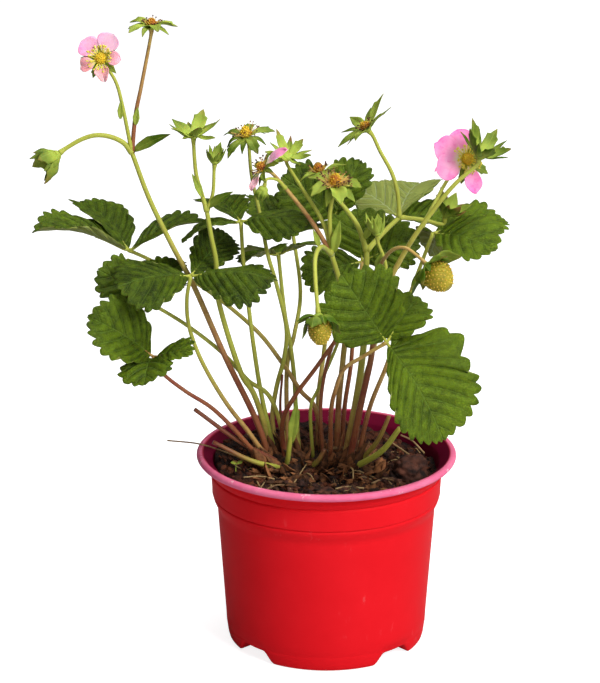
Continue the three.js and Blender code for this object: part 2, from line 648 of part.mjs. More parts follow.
// Leaves, from the front left round to the right. Each stalk's route runs from the crown to
// the hub, and each leaflet from the hub to its tip, with its upper side turned to face.
const LEAVES = [
  {
    name: "leaf_left_low",
    hub: [-84, -24, 155],
    route: [[-26, -8, 87], [-43, -14, 111], [-56, -17, 126], [-69, -20, 136], [-80, -22, 146]],
    leaflets: [
      { tip: [-115, -38, 180], width: 34, face: [0.1, -0.75, 0.65], fold: 0.3 },
      { tip: [-87, -54, 150], width: 28, face: [-0.2, -0.45, 0.9] },
      { tip: [-64, -36, 160], width: 20, face: [0.2, -0.4, 0.9] },
    ],
  },
  {
    name: "leaf_left_rear",
    hub: [-90, 0, 177],
    route: [[-17, 3, 87], [-27, 3, 123], [-39, 3, 134], [-52, 2, 149], [-70, 1, 164]],
    leaflets: [
      { tip: [-112, -6, 194], width: 28, face: [0.5, -0.8, 0.5], fold: 0.1 },
      { tip: [-69, -12, 186], width: 22, face: [0.1, 0, 1] },
      { tip: [-73, 25, 190], width: 20, face: [-0.1, -0.2, 0.95] },
    ],
  },
  {
    name: "leaf_left_high",
    hub: [-98, 18, 197],
    route: [
      [0, 1, 87], [-5, 2, 118], [-13, 5, 128], [-22, 9, 141], [-36, 16, 157], [-62, 31, 174], [-87, 30, 188],
    ],
    leaflets: [
      { tip: [-145, 10, 209], width: 34, face: [0, -0.1, 1], fold: 0.35 },
      { tip: [-126, 54, 213], width: 32, face: [0.3, -0.1, 0.95], fold: 0.25 },
      { tip: [-59, 30, 209], width: 32, face: [0, 0.05, 1], fold: 0.2 },
    ],
  },
  {
    name: "leaf_left_mid",
    hub: [-66, -14, 193],
    route: [
      [-24, -5, 87], [-38, -9, 110], [-50, -12, 128], [-61, -14, 149], [-67, -15, 167], [-68, -15, 181],
    ],
    leaflets: [
      { tip: [-101, -31, 192], width: 38, face: [-0.1, -0.5, 0.85], fold: -0.2 },
      { tip: [-25, -29, 195], width: 36, face: [0, -0.3, 0.95], fold: -0.45 },
      { tip: [-49, 30, 203], width: 24, face: [0.4, -0.25, 0.9], fold: 0.1, bulge: 0.03 },
    ],
  },
  {
    name: "leaf_centre_left",
    hub: [-42, 2, 216],
    route: [[-24, 1, 87], [-32, 3, 124], [-36, 4, 150], [-39, 4, 176], [-41, 3, 196]],
    leaflets: [
      { tip: [-9, -9, 218], width: 30, face: [0, -0.35, 0.93], fold: -0.3 },
      { tip: [-72, 2, 207], width: 16, face: [0, 0, 1], fold: 0.1 },
      { tip: [-58, 36, 218], width: 28, face: [0, 0, 1], fold: 0.2 },
    ],
  },
  {
    name: "leaf_centre_under",
    hub: [-24, 22, 194],
    route: [[-13, 2, 87], [-15, 5, 112], [-16, 10, 132], [-18, 14, 149], [-21, 18, 166]],
    leaflets: [
      { tip: [-3, 12, 201], width: 20, face: [0.1, 0.1, 1], fold: 0.1 },
      { tip: [-43, 10, 194], width: 24, face: [0, 0.35, 0.93], fold: 0.1 },
      { tip: [-34, 52, 184], width: 26, face: [0, -0.1, 1], fold: 0.2 },
    ],
  },
  {
    name: "leaf_back_left",
    hub: [-17, 46, 200],
    route: [[-19, 0, 87], [-20, 7, 128], [-19, 14, 143], [-16, 20, 153], [-13, 32, 172]],
    leaflets: [
      { tip: [-41, 44, 213], width: 30, face: [0.2, -0.5, 0.8], fold: 0.1 },
      { tip: [-28, 88, 206], width: 36, face: [0, -0.1, 1], fold: 0.25 },
      { tip: [12, 70, 188], width: 28, face: [0.1, 0.1, 1], fold: 0.2 },
    ],
  },
  {
    name: "leaf_back_centre",
    hub: [4, 50, 205],
    route: [[-4, 4, 87], [-4, 12, 121], [-1, 24, 143], [2, 37, 171]],
    leaflets: [
      { tip: [-23, 44, 229], width: 34, face: [0.3, -0.9, 0.3], fold: 0.1 },
      { tip: [18, 62, 233], width: 26, face: [-0.4, -0.85, 0.2], fold: 0.2 },
      { tip: [0, 94, 216], width: 38, face: [0, 0, 1], fold: 0.25 },
    ],
  },
  {
    name: "leaf_centre_right",
    hub: [18, 26, 189],
    route: [[7, 3, 87], [9, 7, 117], [12, 11, 137], [13, 13, 148], [15, 19, 168]],
    leaflets: [
      { tip: [-13, 20, 182], width: 28, face: [0.1, -0.8, 0.6], fold: 0.1 },
      { tip: [15, 38, 214], width: 36, face: [0, -0.85, 0.5], fold: 0.15 },
      { tip: [47, 22, 202], width: 32, face: [-0.2, -0.8, 0.6], fold: 0.15 },
    ],
  },
  {
    name: "leaf_back_right",
    hub: [37, 58, 204],
    route: [[11, 3, 87], [18, 12, 126], [25, 24, 148], [33, 42, 182]],
    leaflets: [
      { tip: [15, 74, 214], width: 30, face: [0, -0.3, 0.95], fold: 0.1 },
      { tip: [50, 94, 213], width: 34, face: [-0.2, -0.25, 0.95], fold: 0.15 },
      { tip: [72, 68, 196], width: 32, face: [0.3, -0.3, 0.9], fold: 0.2 },
    ],
  },
  {
    name: "leaf_right",
    hub: [52, 6, 209],
    route: [[14, -5, 87], [21, -5, 121], [30, -3, 145], [38, 0, 171], [47, 4, 196]],
    leaflets: [
      { tip: [82, -16, 206], width: 38, face: [0, -0.5, 0.87], fold: 0.15 },
      { tip: [90, 22, 212], width: 30, face: [0.1, 0, 1], fold: 0.3 },
      { tip: [52, 38, 188], width: 26, face: [0.6, 0.3, 0.75], fold: 0.2 },
    ],
  },
  {
    name: "leaf_front_right",
    hub: [28, -42, 168],
    route: [[2, -8, 87], [2, -19, 124], [4, -27, 139], [8, -34, 152], [17, -39, 160]],
    leaflets: [
      { tip: [55, -62, 125], width: 48, face: [0.25, -0.85, 0.4], fold: 0.1, bulge: 0.12, skew: 0.2 },
      { tip: [6, -45, 203], width: 44, face: [-0.1, -0.9, 0.35], fold: 0.12 },
      { tip: [43, -30, 188], width: 24, face: [-0.6, -0.6, 0.5], fold: 0.2 },
    ],
  },
];

// Flower stalks: each route starts in the crown, or at a point on an earlier route. One that
// bears a bloom runs on to the bloom's foot. The last three are spent ones that lean on others.
const FLOWER_STALKS = [
  {
    radii: [1.9, 1.3],
    route: [
      [-26, -2, 87], [-35, -3, 115], [-50, -3, 148], [-65, -2, 184], [-75, -2, 204], [-86, -2, 228],
      [-94, -2, 251],
    ],
  },
  {
    radii: [1.3, 1],
    bears: "left_tip",
    route: [[-94, -2, 251], [-98, -2.5, 256], [-104, -3, 259], [-111, -4, 260], [-118, -4.5, 258]],
  },
  { radii: [1, 0.75], bears: "left_pink", route: [[-94, -2, 251], [-98, -4, 275], [-101, -3, 286]] },
  { radii: [1.1, 0.8], bears: "left_top", route: [[-94, -2, 251], [-92, 0, 269], [-89, 1, 283]] },
  {
    radii: [1.8, 1.3],
    route: [
      [-25, 5, 87], [-35, 0, 125], [-43, -2, 141], [-53, -6, 178], [-54, -7, 198], [-56, -9.5, 211],
      [-58, -10, 224],
    ],
  },
  { radii: [1.1, 0.85], bears: "left_star", route: [[-58, -10, 224], [-60, -9, 231], [-63, -8, 242]] },
  { radii: [0.95, 0.75], bears: "left_bud", route: [[-58, -10, 224], [-55, -10, 233]] },
  {
    radii: [1.5, 0.95],
    bears: "back_left",
    route: [
      [-24, 7, 87], [-27, 5, 112], [-25, 6, 129], [-21, 7, 145], [-20, 6, 161], [-25, 2, 185], [-29, 0, 200],
      [-33, 14, 217], [-37, 20, 234],
    ],
  },
  {
    radii: [1.9, 1.4],
    route: [[5, 1, 87], [6, 0, 122], [8, -4, 147], [9, -8, 164], [7, -12, 185], [2, -15, 204]],
  },
  { radii: [1.2, 0.85], bears: "centre_pink", route: [[2, -15, 204], [-8, -16, 221], [-20, -17, 237]] },
  { radii: [0.8, 0.6], bears: "centre_bud", route: [[-20, -17, 237], [-24, -20.5, 242]] },
  { radii: [1.1, 0.8], bears: "centre_star", route: [[2, -15, 204], [-2, -14, 219], [-12, -10, 235]] },
  { radii: [1.2, 0.9], bears: "centre_open", route: [[2, -15, 204], [1, -17, 223]] },
  {
    radii: [1.2, 0.9],
    bears: "berry_front",
    route: [[2, -15, 204], [-3, -27, 211], [-6, -43, 210], [-6, -55, 202]],
  },
  {
    radii: [2.3, 1.6],
    route: [[8, -4, 87], [15, -8, 130], [18, -12, 158], [19, -12, 180], [19, -9, 204]],
  },
  { radii: [1.3, 0.9], bears: "centre_rear", route: [[19, -9, 204], [14, -6, 217], [4, -1.5, 229]] },
  { radii: [1.3, 1.1], route: [[19, -9, 204], [28, -5, 213], [35, -2, 219]] },
  { radii: [1.1, 0.85], bears: "right_old", route: [[35, -2, 219], [46, 1.5, 217]] },
  {
    radii: [1.1, 0.85],
    bears: "right_tall",
    route: [[35, -2, 219], [34, -2, 231], [31, -1, 241], [25.5, 0, 251]],
  },
  {
    radii: [2.1, 1.1],
    bears: "right_star",
    route: [
      [10, -8, 87], [16, -13, 123], [21, -16, 149], [23, -18, 164], [27, -20, 185], [38, -22, 209],
      [50, -24, 228], [60, -25, 241],
    ],
  },
  { radii: [1, 0.75], bears: "right_pink", route: [[45, -23, 220], [51, -15, 229], [58, -6, 239]] },
  {
    radii: [1.2, 0.9],
    bears: "berry_right",
    route: [[25, -19, 176], [24, -26, 197], [29, -34, 210], [36, -40, 214]],
  },
  { radii: [1, 0.8], bears: "right_young", route: [[27, -20, 185], [28, -18, 199]] },
  { radii: [1.3, 1], route: [[-20, -2, 87], [-22, -6, 114], [-16, -11, 130], [-6, -13, 145], [8, -9, 164]] },
  { radii: [0.9, 0.8], route: [[-6, -1, 87], [-8, -4, 120], [-4, -3, 132], [5, -2, 154], [9, -7, 172]] },
  { radii: [1, 0.8], route: [[-1, -7, 87], [-3, -8, 124], [1, -8, 150], [8, -8, 168]] },
];
const BRACTS = [
  { base: [-93, -2, 252], tip: [-75, -6, 261], width: 6 },
  { base: [-57.5, -10, 226], tip: [-45, -15, 235], width: 5 },
  { base: [3, -15.5, 205], tip: [6, -19, 222], width: 5 },
  { base: [18, -8, 210], tip: [23, -12, 219], width: 4 },
];

// Blooms, and what each still holds. Axis points from the stalk out of the bloom.
const BLOOMS = {
  left_tip: {
    foot: [-128, -6, 252],
    axis: [-0.8, -0.25, -0.55],
    sepal: 14,
    width: 0.62,
    startDeg: 38,
    endDeg: -12,
  },
  left_pink: {
    foot: [-107, -3.8, 296],
    axis: [-0.15, -0.85, 0.5],
    sepal: 8,
    startDeg: 82,
    endDeg: 92,
    petals: { radius: 9.5, present: [0.8, 0.8, 0.7, 1.05, 1.05], turnDeg: 20, startDeg: 74, endDeg: 80 },
    centre: { radius: 2.6, height: 2.2, stamens: 12, reach: 3, color: YELLOW_CENTRE },
  },
  left_top: {
    foot: [-84, 2, 309.8],
    axis: [0.05, -0.05, 1],
    sepal: 11.5,
    startDeg: 78,
    endDeg: 96,
    centre: { radius: 2.4, height: 2.6, stamens: 8, color: BROWN_CENTRE },
  },
  left_star: {
    foot: [-64, -8, 259],
    axis: [0, -0.2, 0.98],
    sepal: 13,
    width: 0.5,
    startDeg: 62,
    endDeg: 38,
  },
  left_bud: {
    foot: [-54, -10, 247],
    axis: [0.1, -0.1, 1],
    sepal: 9,
    width: 0.4,
    startDeg: 32,
    endDeg: 8,
  },
  back_left: {
    foot: [-39, 22, 252],
    axis: [-0.2, -0.25, 0.95],
    sepal: 13,
    startDeg: 84,
    endDeg: 116,
    centre: { radius: 2.6, height: 4, stamens: 8, reach: 3.8, color: BROWN_CENTRE },
  },
  centre_pink: {
    foot: [-29, -17, 246],
    axis: [-0.75, -0.35, 0.55],
    sepal: 8,
    startDeg: 80,
    endDeg: 100,
    petals: { radius: 9, present: [0, 1, 0, 1.45, 0], turnDeg: 29, startDeg: 80, endDeg: 98 },
    centre: { radius: 2.4, height: 2.4, stamens: 10, color: BROWN_CENTRE },
  },
  centre_bud: {
    foot: [-30, -24, 240],
    axis: [-0.35, 0.05, -0.95],
    sepal: 6.5,
    width: 0.6,
    startDeg: 30,
    endDeg: -14,
  },
  centre_star: {
    foot: [-19, -4, 248.4],
    axis: [0.1, -0.45, 0.88],
    sepal: 11.5,
    startDeg: 72,
    endDeg: 52,
  },
  centre_open: {
    foot: [3, -18, 237],
    axis: [0.08, -0.3, 0.95],
    sepal: 13,
    startDeg: 80,
    endDeg: 104,
    centre: { radius: 3, height: 5, stamens: 10, reach: 3.7, color: BROWN_CENTRE },
  },
  centre_rear: {
    foot: [-3, 1, 238.6],
    axis: [-0.3, 0.1, 0.95],
    sepal: 11,
    startDeg: 78,
    endDeg: 98,
    centre: { radius: 2.6, height: 3.4, stamens: 8, color: BROWN_CENTRE },
  },
  berry_front: {
    foot: [-4.8, -61, 188.6],
    axis: [0.1, -0.3, -0.95],
    sepal: 13,
    width: 0.5,
    startDeg: 74,
    endDeg: 56,
    berry: { radius: 5.8, length: 12.5 },
  },
  right_old: {
    foot: [57.5, 4.4, 217],
    axis: [0.35, -0.15, 0.9],
    sepal: 12,
    startDeg: 46,
    endDeg: 34,
  },
  right_tall: {
    foot: [20, 0, 261],
    axis: [-0.5, -0.2, 0.85],
    sepal: 16,
    width: 0.34,
    startDeg: 66,
    endDeg: 76,
    centre: { radius: 2.2, height: 2.6, stamens: 6, color: BROWN_CENTRE },
  },
  right_star: {
    foot: [71, -25, 253],
    axis: [0.35, -0.15, 0.92],
    sepal: 16,
    width: 0.4,
    startDeg: 60,
    endDeg: 44,
  },
  right_pink: {
    foot: [66, -10, 249.2],
    axis: [0.2, -0.9, 0.35],
    sepal: 10,
    startDeg: 84,
    endDeg: 94,
    petals: { radius: 12.5, present: [1, 1, 0.9, 0, 0.95], turnDeg: -36, startDeg: 76, endDeg: 82 },
    centre: { radius: 2.8, height: 2.6, stamens: 14, reach: 2.8, color: YELLOW_CENTRE },
  },
  berry_right: {
    foot: [45.4, -45.7, 208],
    axis: [0.6, -0.55, -0.5],
    sepal: 14,
    width: 0.5,
    startDeg: 80,
    endDeg: 66,
    berry: { radius: 7.4, length: 14 },
  },
  right_young: {
    foot: [24, -17, 213.4],
    axis: [-0.1, -0.1, 1],
    sepal: 9.5,
    width: 0.42,
    startDeg: 34,
    endDeg: 6,
  },
};
const YOUNG_BLOOMS = ["right_young", "centre_open", "back_left"];
const BARK_LUMPS = [
  { name: "bark_lump", at: [43, -14, 92], size: [9, 7, 6.5], turnDeg: 20 },
  { name: "bark_chip", at: [-2, -37, 89.6], size: [8, 4, 2.6], turnDeg: -12 },
];

// The young leaf still folded at the front of the crown.
const YOUNG_LEAF = {
  base: [-12, -14, 111],
  tip: [-9, -15, 124],
  width: 7,
  face: [0.3, -1, 0.1],
  fold: 0.5,
  bulge: 0.05,
};

function makeCrown() {
  const rings = CROWN_PROFILE.map(([reach, height]) =>
    Array.from({ length: CROWN_FACETS }, (_, facet) => {
      const turn = (2 * Math.PI * facet) / CROWN_FACETS;
      const furrow = (1 + Math.sin(CROWN_LOBES * turn)) / 2;
      const share = reach < 1 ? reach - CROWN_RIPPLE * furrow : 1;
      return new THREE.Vector3(
        CROWN_CENTRE[0] + CROWN_RADII[0] * share * Math.cos(turn),
        CROWN_CENTRE[1] + CROWN_RADII[1] * share * Math.sin(turn),
        height,
      );
    }),
  );
  const body = solidOf(tubeGeometry(rings));
  const stubs = STUBS.map(({ route, radii }) => stalk(route, radii));
  const leafStalks = LEAVES.map((spec) => stalk(leafStalkRoute(spec), LEAF_STALK_RADII));
  const flowerStalks = FLOWER_STALKS.map(({ route, radii, bears }) =>
    stalk(bears ? [...route, ...neckOf(BLOOMS[bears])] : route, radii),
  );
  const young = leaflet(point(YOUNG_LEAF.base), YOUNG_LEAF);
  return union([body, ...stubs, ...leafStalks, ...flowerStalks, ...BRACTS.map(bract), young]);
}

addPiece("pot", makePot(), RED_POT, 0.45);
addPiece("soil", makeSoil(), DARK_SOIL, 0.95);
addPiece("crown_and_stalks", makeCrown(), GREEN_STALK);
for (const spec of BARK_LUMPS) {
  addPiece(spec.name, barkLump(spec), BROWN_BARK, 0.9);
}
for (const spec of LEAVES) {
  addPiece(spec.name, leaf(spec), GREEN_LEAF);
}
for (const [place, spec] of Object.entries(BLOOMS)) {
  const { foot, axis } = spec;
  addPiece(`calyx_${place}`, calyx(spec), YOUNG_BLOOMS.includes(place) ? GREEN_YOUNG : GREEN_SEPAL);
  if (spec.petals) addPiece(`petals_${place}`, petals({ foot, axis, ...spec.petals }), PINK_PETAL, 0.7);
  if (spec.centre) {
    addPiece(`flower_centre_${place}`, flowerCentre({ foot, axis, ...spec.centre }), spec.centre.color, 0.8);
  }
  if (spec.berry) addPiece(`fruit_${place}`, berry({ foot, axis, ...spec.berry }), YELLOW_BERRY, 0.5);
}

export default part;
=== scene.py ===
"""The looks of a strawberry plant with pink flowers, growing in a round red plastic pot.

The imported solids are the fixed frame. Every grown piece is worked out again here as a finer
surface over the same routes, hubs, feet and axes, in millimetres, with teeth, veins, seeds,
hairs and crumbs that are too fine for a solid. The origin is the middle of the pot's underside,
+Z is up and -Y is the front. A seed names each random draw, so every run gives the same plant.
"""

from __future__ import annotations

import logging
import math
from dataclasses import dataclass, field
from enum import Enum
from functools import cache
from typing import Iterable, Sequence

import bpy
import numpy as np
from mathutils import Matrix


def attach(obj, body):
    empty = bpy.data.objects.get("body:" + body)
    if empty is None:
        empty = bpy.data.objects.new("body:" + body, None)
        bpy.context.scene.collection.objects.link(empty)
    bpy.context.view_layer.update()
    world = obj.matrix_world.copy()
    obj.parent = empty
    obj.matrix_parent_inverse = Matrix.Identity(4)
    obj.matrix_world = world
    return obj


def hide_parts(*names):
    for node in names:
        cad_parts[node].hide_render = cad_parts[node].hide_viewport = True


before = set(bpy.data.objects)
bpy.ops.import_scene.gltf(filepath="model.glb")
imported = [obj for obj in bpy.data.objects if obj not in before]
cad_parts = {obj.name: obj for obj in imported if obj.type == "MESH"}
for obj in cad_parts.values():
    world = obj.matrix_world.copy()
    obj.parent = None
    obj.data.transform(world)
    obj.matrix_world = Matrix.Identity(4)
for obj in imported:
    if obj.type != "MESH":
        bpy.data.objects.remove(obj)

LOG = logging.getLogger("strawberry_plant")
MM = 0.001
BODY = "root"
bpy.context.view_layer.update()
GOLDEN_ANGLE = math.pi * (3 - math.sqrt(5))
RIM = 0.35
WAVES = 24
STEPS_PER_SPAN = 8
HAIR_RADIUS = 0.03

Array = np.ndarray
Vec = Sequence[float]
Colour = tuple[float, float, float]
Material = bpy.types.Material
Socket = bpy.types.NodeSocket
Palette = dict[str, Material]


# Geometry shared by every piece


def unit(vectors: Array) -> Array:
    """Returns the vectors scaled to length one."""
    vectors = np.asarray(vectors, float)
    return vectors / np.maximum(np.linalg.norm(vectors, axis=-1, keepdims=True), 1e-12)


def smoothstep(low: float, high: float, value: Array) -> Array:
    """Returns 0 below low, 1 above high and the cubic 3t^2 - 2t^3 between them."""
    share = np.clip((np.asarray(value, float) - low) / (high - low), 0, 1)
    return share * share * (3 - 2 * share)


def turns(count: int) -> Array:
    """Returns that many even turns round a circle, in radians."""
    return np.linspace(0, math.tau, count, endpoint=False)


def compass(angle: Array) -> Array:
    """Returns the flat direction (cosine, sine) of each angle."""
    return np.stack([np.cos(angle), np.sin(angle)], axis=-1)


def at_height(flat: Array, level: Array) -> Array:
    """Returns flat places (x, y) with a height z for each."""
    return np.concatenate([flat, level[..., None]], axis=-1)


def moved(start: Array, *steps: tuple[Array, Array]) -> Array:
    """Places moved from a start, one step after another.

    Args:
        start: where they start.
        steps: pairs of an amount for each place and the direction that it is moved in.

    Returns:
        The start plus each amount times its direction.
    """
    for amount, way in steps:
        start = start + amount[..., None] * way
    return start


def placed(name: str, data: bpy.types.ID) -> bpy.types.Object:
    """Links an object into the scene.

    Args:
        name: its name.
        data: its mesh, light or camera.

    Returns:
        The object, at the origin.
    """
    thing = bpy.data.objects.new(name, data)
    bpy.context.scene.collection.objects.link(thing)
    return thing


def wavy(points: Array, reach: float, seed: int) -> Array:
    """Smooth noise: a sum of plane waves in random directions, with random phases.

    Args:
        points: places, the last axis holding two or three coordinates in mm.
        reach: the length in mm over which the noise changes.
        seed: names the draw.

    Returns:
        One value for each place, about -1 to 1.
    """
    rng = np.random.default_rng(seed)
    ways = unit(rng.normal(size=(WAVES, points.shape[-1])))
    ways = ways * rng.uniform(0.6, 1.6, (WAVES, 1)) * math.tau / reach
    phases = rng.uniform(0, math.tau, WAVES)
    return np.cos(points @ ways.T / 2 + phases).sum(axis=-1) * math.sqrt(2 / WAVES) / 1.6


@dataclass
class Surface:
    """A mesh in the making: places in mm, blocks of faces, and named values per vertex."""

    points: Array
    faces: list[Array]
    flat: list[bool]
    values: dict[str, Array] = field(default_factory=dict)

    @staticmethod
    def joined(parts: Iterable["Surface"]) -> "Surface":
        """Joins surfaces.

        Args:
            parts: the surfaces.

        Returns:
            One that holds them all, with a zero where a part lacks a value.
        """
        parts = list(parts)
        starts = np.cumsum([0] + [len(part.points) for part in parts[:-1]])
        names = sorted({name for part in parts for name in part.values})
        none = [np.zeros(len(part.points)) for part in parts]
        return Surface(
            np.concatenate([part.points for part in parts]),
            [block + start for part, start in zip(parts, starts) for block in part.faces],
            [is_flat for part in parts for is_flat in part.flat],
            {
                name: np.concatenate([p.values.get(name, zero) for p, zero in zip(parts, none)])
                for name in names
            },
        )

    def tagged(self, **values: float) -> "Surface":
        """Returns the surface with each named value set to one number all over."""
        self.values |= {key: np.full(len(self.points), float(n)) for key, n in values.items()}
        return self

    def outward(self) -> "Surface":
        """Turns the faces of a closed surface outward, which are inward where the volume that
        they enclose, summed over triangles as corner . (second x third), is negative.

        Returns:
            The surface.
        """
        volume = 0.0
        for block in self.faces:
            corners = self.points[block]
            for k in range(1, block.shape[1] - 1):
                volume += (corners[:, 0] * np.cross(corners[:, k], corners[:, k + 1])).sum()
        if volume < 0:
            self.faces = [block[:, ::-1] for block in self.faces]
        return self

    def mesh(self, name: str) -> bpy.types.Mesh:
        """Makes the mesh, in metres, with its values and shading.

        Args:
            name: its name.

        Returns:
            The mesh.
        """
        mesh = bpy.data.meshes.new(name)
        faces = [face for block in self.faces for face in block.tolist()]
        mesh.from_pydata((self.points * MM).tolist(), [], faces)
        smooth = [np.full(len(block), not flat) for block, flat in zip(self.faces, self.flat)]
        mesh.polygons.foreach_set("use_smooth", np.concatenate(smooth))
        for key, value in self.values.items():
            kept = mesh.attributes.new(key, "FLOAT", "POINT")
            kept.data.foreach_set("value", value.astype(np.float32))
        mesh.update()
        return mesh

    def made(self, name: str, material: Material, slot: str, *nodes: str) -> bpy.types.Object:
        """Puts the surface into the scene as a piece that rides on the plant's body.

        Args:
            name: the piece's name.
            material: its finish.
            slot: the record's material slot, which is not used.
            nodes: the solids that it stands for, none for a piece that is only added.

        Returns:
            The new object.
        """
        piece = placed(name, self.mesh(name))
        piece.data.materials.append(material)
        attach(piece, BODY)
        if nodes:
            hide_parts(*nodes)
        LOG.info("%s: %d faces", name, len(piece.data.polygons))
        return piece


def grid_quads(
    rows: int, columns: int, start: int = 0, closed: bool = False, flipped: bool = False
) -> Array:
    """Quads of a grid whose vertices run row by row.

    Args:
        rows: rows of vertices.
        columns: vertices in a row.
        start: number of the first vertex.
        closed: joins the last column to the first.
        flipped: lists each quad the other way round.

    Returns:
        The corners of each quad.
    """
    spans = np.arange(columns if closed else columns - 1)
    row, column = np.meshgrid(np.arange(rows - 1) * columns, spans, indexing="ij")
    after = (column + 1) % columns
    above = row + columns
    corners = [row + column, row + after, above + after, above + column]
    quads = np.stack(corners, axis=-1).reshape(-1, 4) + start
    return quads[:, ::-1] if flipped else quads


def closed_rings(rings: Array, ends: Array | None = None, **values: Array | float) -> Surface:
    """A closed body through rings of places, shut by a fan to a middle point at each end.

    Args:
        rings: places of shape (count, sides, 3), from one end to the other.
        ends: the two middle points, or None for the means of the end rings.
        values: named values: one, one for each ring, or one for each place of the rings.

    Returns:
        The body, its faces outward.
    """
    count, sides, _ = rings.shape
    if ends is None:
        ends = rings[[0, -1]].mean(axis=1)
    side = np.arange(sides)
    after = (side + 1) % sides
    top, last = count * sides, (count - 1) * sides
    fans = [
        np.stack([np.full(sides, top), after, side], axis=-1),
        np.stack([np.full(sides, top + 1), last + side, last + after], axis=-1),
    ]
    kept = {}
    for name, value in values.items():
        value = np.asarray(value, float)
        spread = np.broadcast_to(value[:, None] if value.ndim == 1 else value, (count, sides))
        kept[name] = np.concatenate([spread.ravel(), spread[[0, -1]].mean(axis=1)])
    points = np.concatenate([rings.reshape(-1, 3), ends])
    faces = [grid_quads(count, sides, closed=True), *fans]
    return Surface(points, faces, [False] * 3, kept).outward()


def blade(grid: Array, thickness: float, **values: Array | float) -> Surface:
    """A thin closed sheet over a grid of places: each is moved half a thickness along the
    grid's normal to both sides, and only RIM of that at the rim. The upper side is the one
    that the cross product of the column and row directions points to.

    Args:
        grid: places of shape (rows, columns, 3).
        thickness: in mm.
        values: named values, each spread over (rows, columns).

    Returns:
        The sheet, with a value "under" that is 1 on its lower side.
    """
    rows, columns, _ = grid.shape
    normal = unit(np.cross(np.gradient(grid, axis=1), np.gradient(grid, axis=0)))
    inner = np.full((rows, columns), RIM)
    inner[1:-1, 1:-1] = 1
    lift = (normal * (thickness / 2) * inner[..., None]).reshape(-1, 3)
    flat = grid.reshape(-1, 3)
    count = len(flat)
    number = np.arange(count).reshape(rows, columns)
    loop = [number[0, :-1], number[:-1, -1], number[-1, :0:-1], number[:0:-1, 0]]
    loop = np.concatenate(loop)
    after = np.roll(loop, -1)
    edge = np.stack([loop, loop + count, after + count, after], axis=-1)
    kept = {
        name: np.tile(np.broadcast_to(value, (rows, columns)).ravel(), 2)
        for name, value in values.items()
    }
    kept["under"] = np.repeat([0.0, 1.0], count)
    return Surface(
        np.concatenate([flat + lift, flat - lift]),
        [grid_quads(rows, columns), grid_quads(rows, columns, count, flipped=True), edge],
        [False, False, True],
        kept,
    )


def blade_axes(base: Vec, tip: Vec, face: Vec) -> tuple[Array, Array, Array, float]:
    """The directions of a blade. The side is the cross product of along and up.

    Args:
        base: where it starts.
        tip: where it ends.
        face: about the way that its upper side faces.

    Returns:
        Unit directions along it, to its side and up from its upper side, and its length.
    """
    along = np.asarray(tip, float) - np.asarray(base, float)
    length = float(np.linalg.norm(along))
    along = along / length
    face = np.asarray(face, float)
    up = unit(face - along * (face @ along))
    return along, np.cross(along, up), up, length


def smooth_route(route: Sequence[Vec]) -> Array:
    """A curve through a route, by Catmull and Rom's rule: each span is a cubic that leaves and
    arrives along half the step between the neighbours of its ends.

    Args:
        route: the places that it runs through.

    Returns:
        Places on the curve.
    """
    knots = np.asarray(route, float)
    before, after = 2 * knots[0] - knots[1], 2 * knots[-1] - knots[-2]
    padded = np.concatenate([[before], knots, [after]])
    t = np.linspace(0, 1, STEPS_PER_SPAN, endpoint=False)[:, None, None]
    p0, p1, p2, p3 = (padded[k : len(padded) - 3 + k] for k in range(4))
    leave, arrive = (p2 - p0) / 2, (p3 - p1) / 2
    square = 3 * (p2 - p1) - 2 * leave - arrive
    cube = 2 * (p1 - p2) + leave + arrive
    span = p1 + leave * t + square * t**2 + cube * t**3
    return np.concatenate([span.transpose(1, 0, 2).reshape(-1, 3), knots[-1:]])


def reached(path: Array) -> Array:
    """Returns how far along the path each place is, in mm."""
    return np.concatenate([[0], np.cumsum(np.linalg.norm(np.diff(path, axis=0), axis=1))])


def outward_at(axis: Array, turn: float | Array) -> Array:
    """The direction square to an axis at a turn, as the solids measure it.

    Args:
        axis: a unit direction.
        turn: one or more angles in radians.

    Returns:
        A unit direction for each angle.
    """
    guide = np.array([0.0, 0, 1]) if abs(axis[2]) < 0.9 else np.array([0.0, -1, 0])
    first = unit(np.cross(axis, guide))
    turn = np.asarray(turn, float)[..., None]
    return np.cos(turn) * first + np.sin(turn) * unit(np.cross(axis, first))


def tube(path: Array, radii: Array | float, sides: int, **values: Array | float) -> Surface:
    """A closed tube: at each place of the path a circle of that radius, square to the path.

    Args:
        path: places on its middle line.
        radii: one radius, or one for each place.
        sides: corners of the circle.
        values: named values, one for the tube or one for each place.

    Returns:
        The tube, with a value "along" that runs from 0 at its start to 1 at its end.
    """
    along = unit(np.gradient(path, axis=0))
    guide = np.eye(3)[np.argmin(np.abs(along).max(axis=0))]
    first = unit(np.cross(along, guide))
    second = np.cross(along, first)
    cosine, sine = compass(turns(sides)).T[..., None]
    ring = first[:, None] * cosine + second[:, None] * sine
    rings = path[:, None] + ring * np.broadcast_to(radii, len(path))[:, None, None]
    far = reached(path)
    return closed_rings(rings, path[[0, -1]], along=far / far[-1], **values)


def turned(profile: Sequence[Vec], foot: Vec, axis: Vec, sides: int) -> Surface:
    """A closed shape whose outline is turned about an axis.

    Args:
        profile: pairs of radius and height from bottom to top, without the ends on the axis.
        foot: where height 0 is.
        axis: the direction of height.
        sides: corners of each circle.

    Returns:
        The shape.
    """
    radius, height = np.asarray(profile, float).T[..., None, None]
    up = unit(np.asarray(axis, float))
    ring = outward_at(up, turns(sides))
    return closed_rings(np.asarray(foot, float) + height * up + radius * ring)


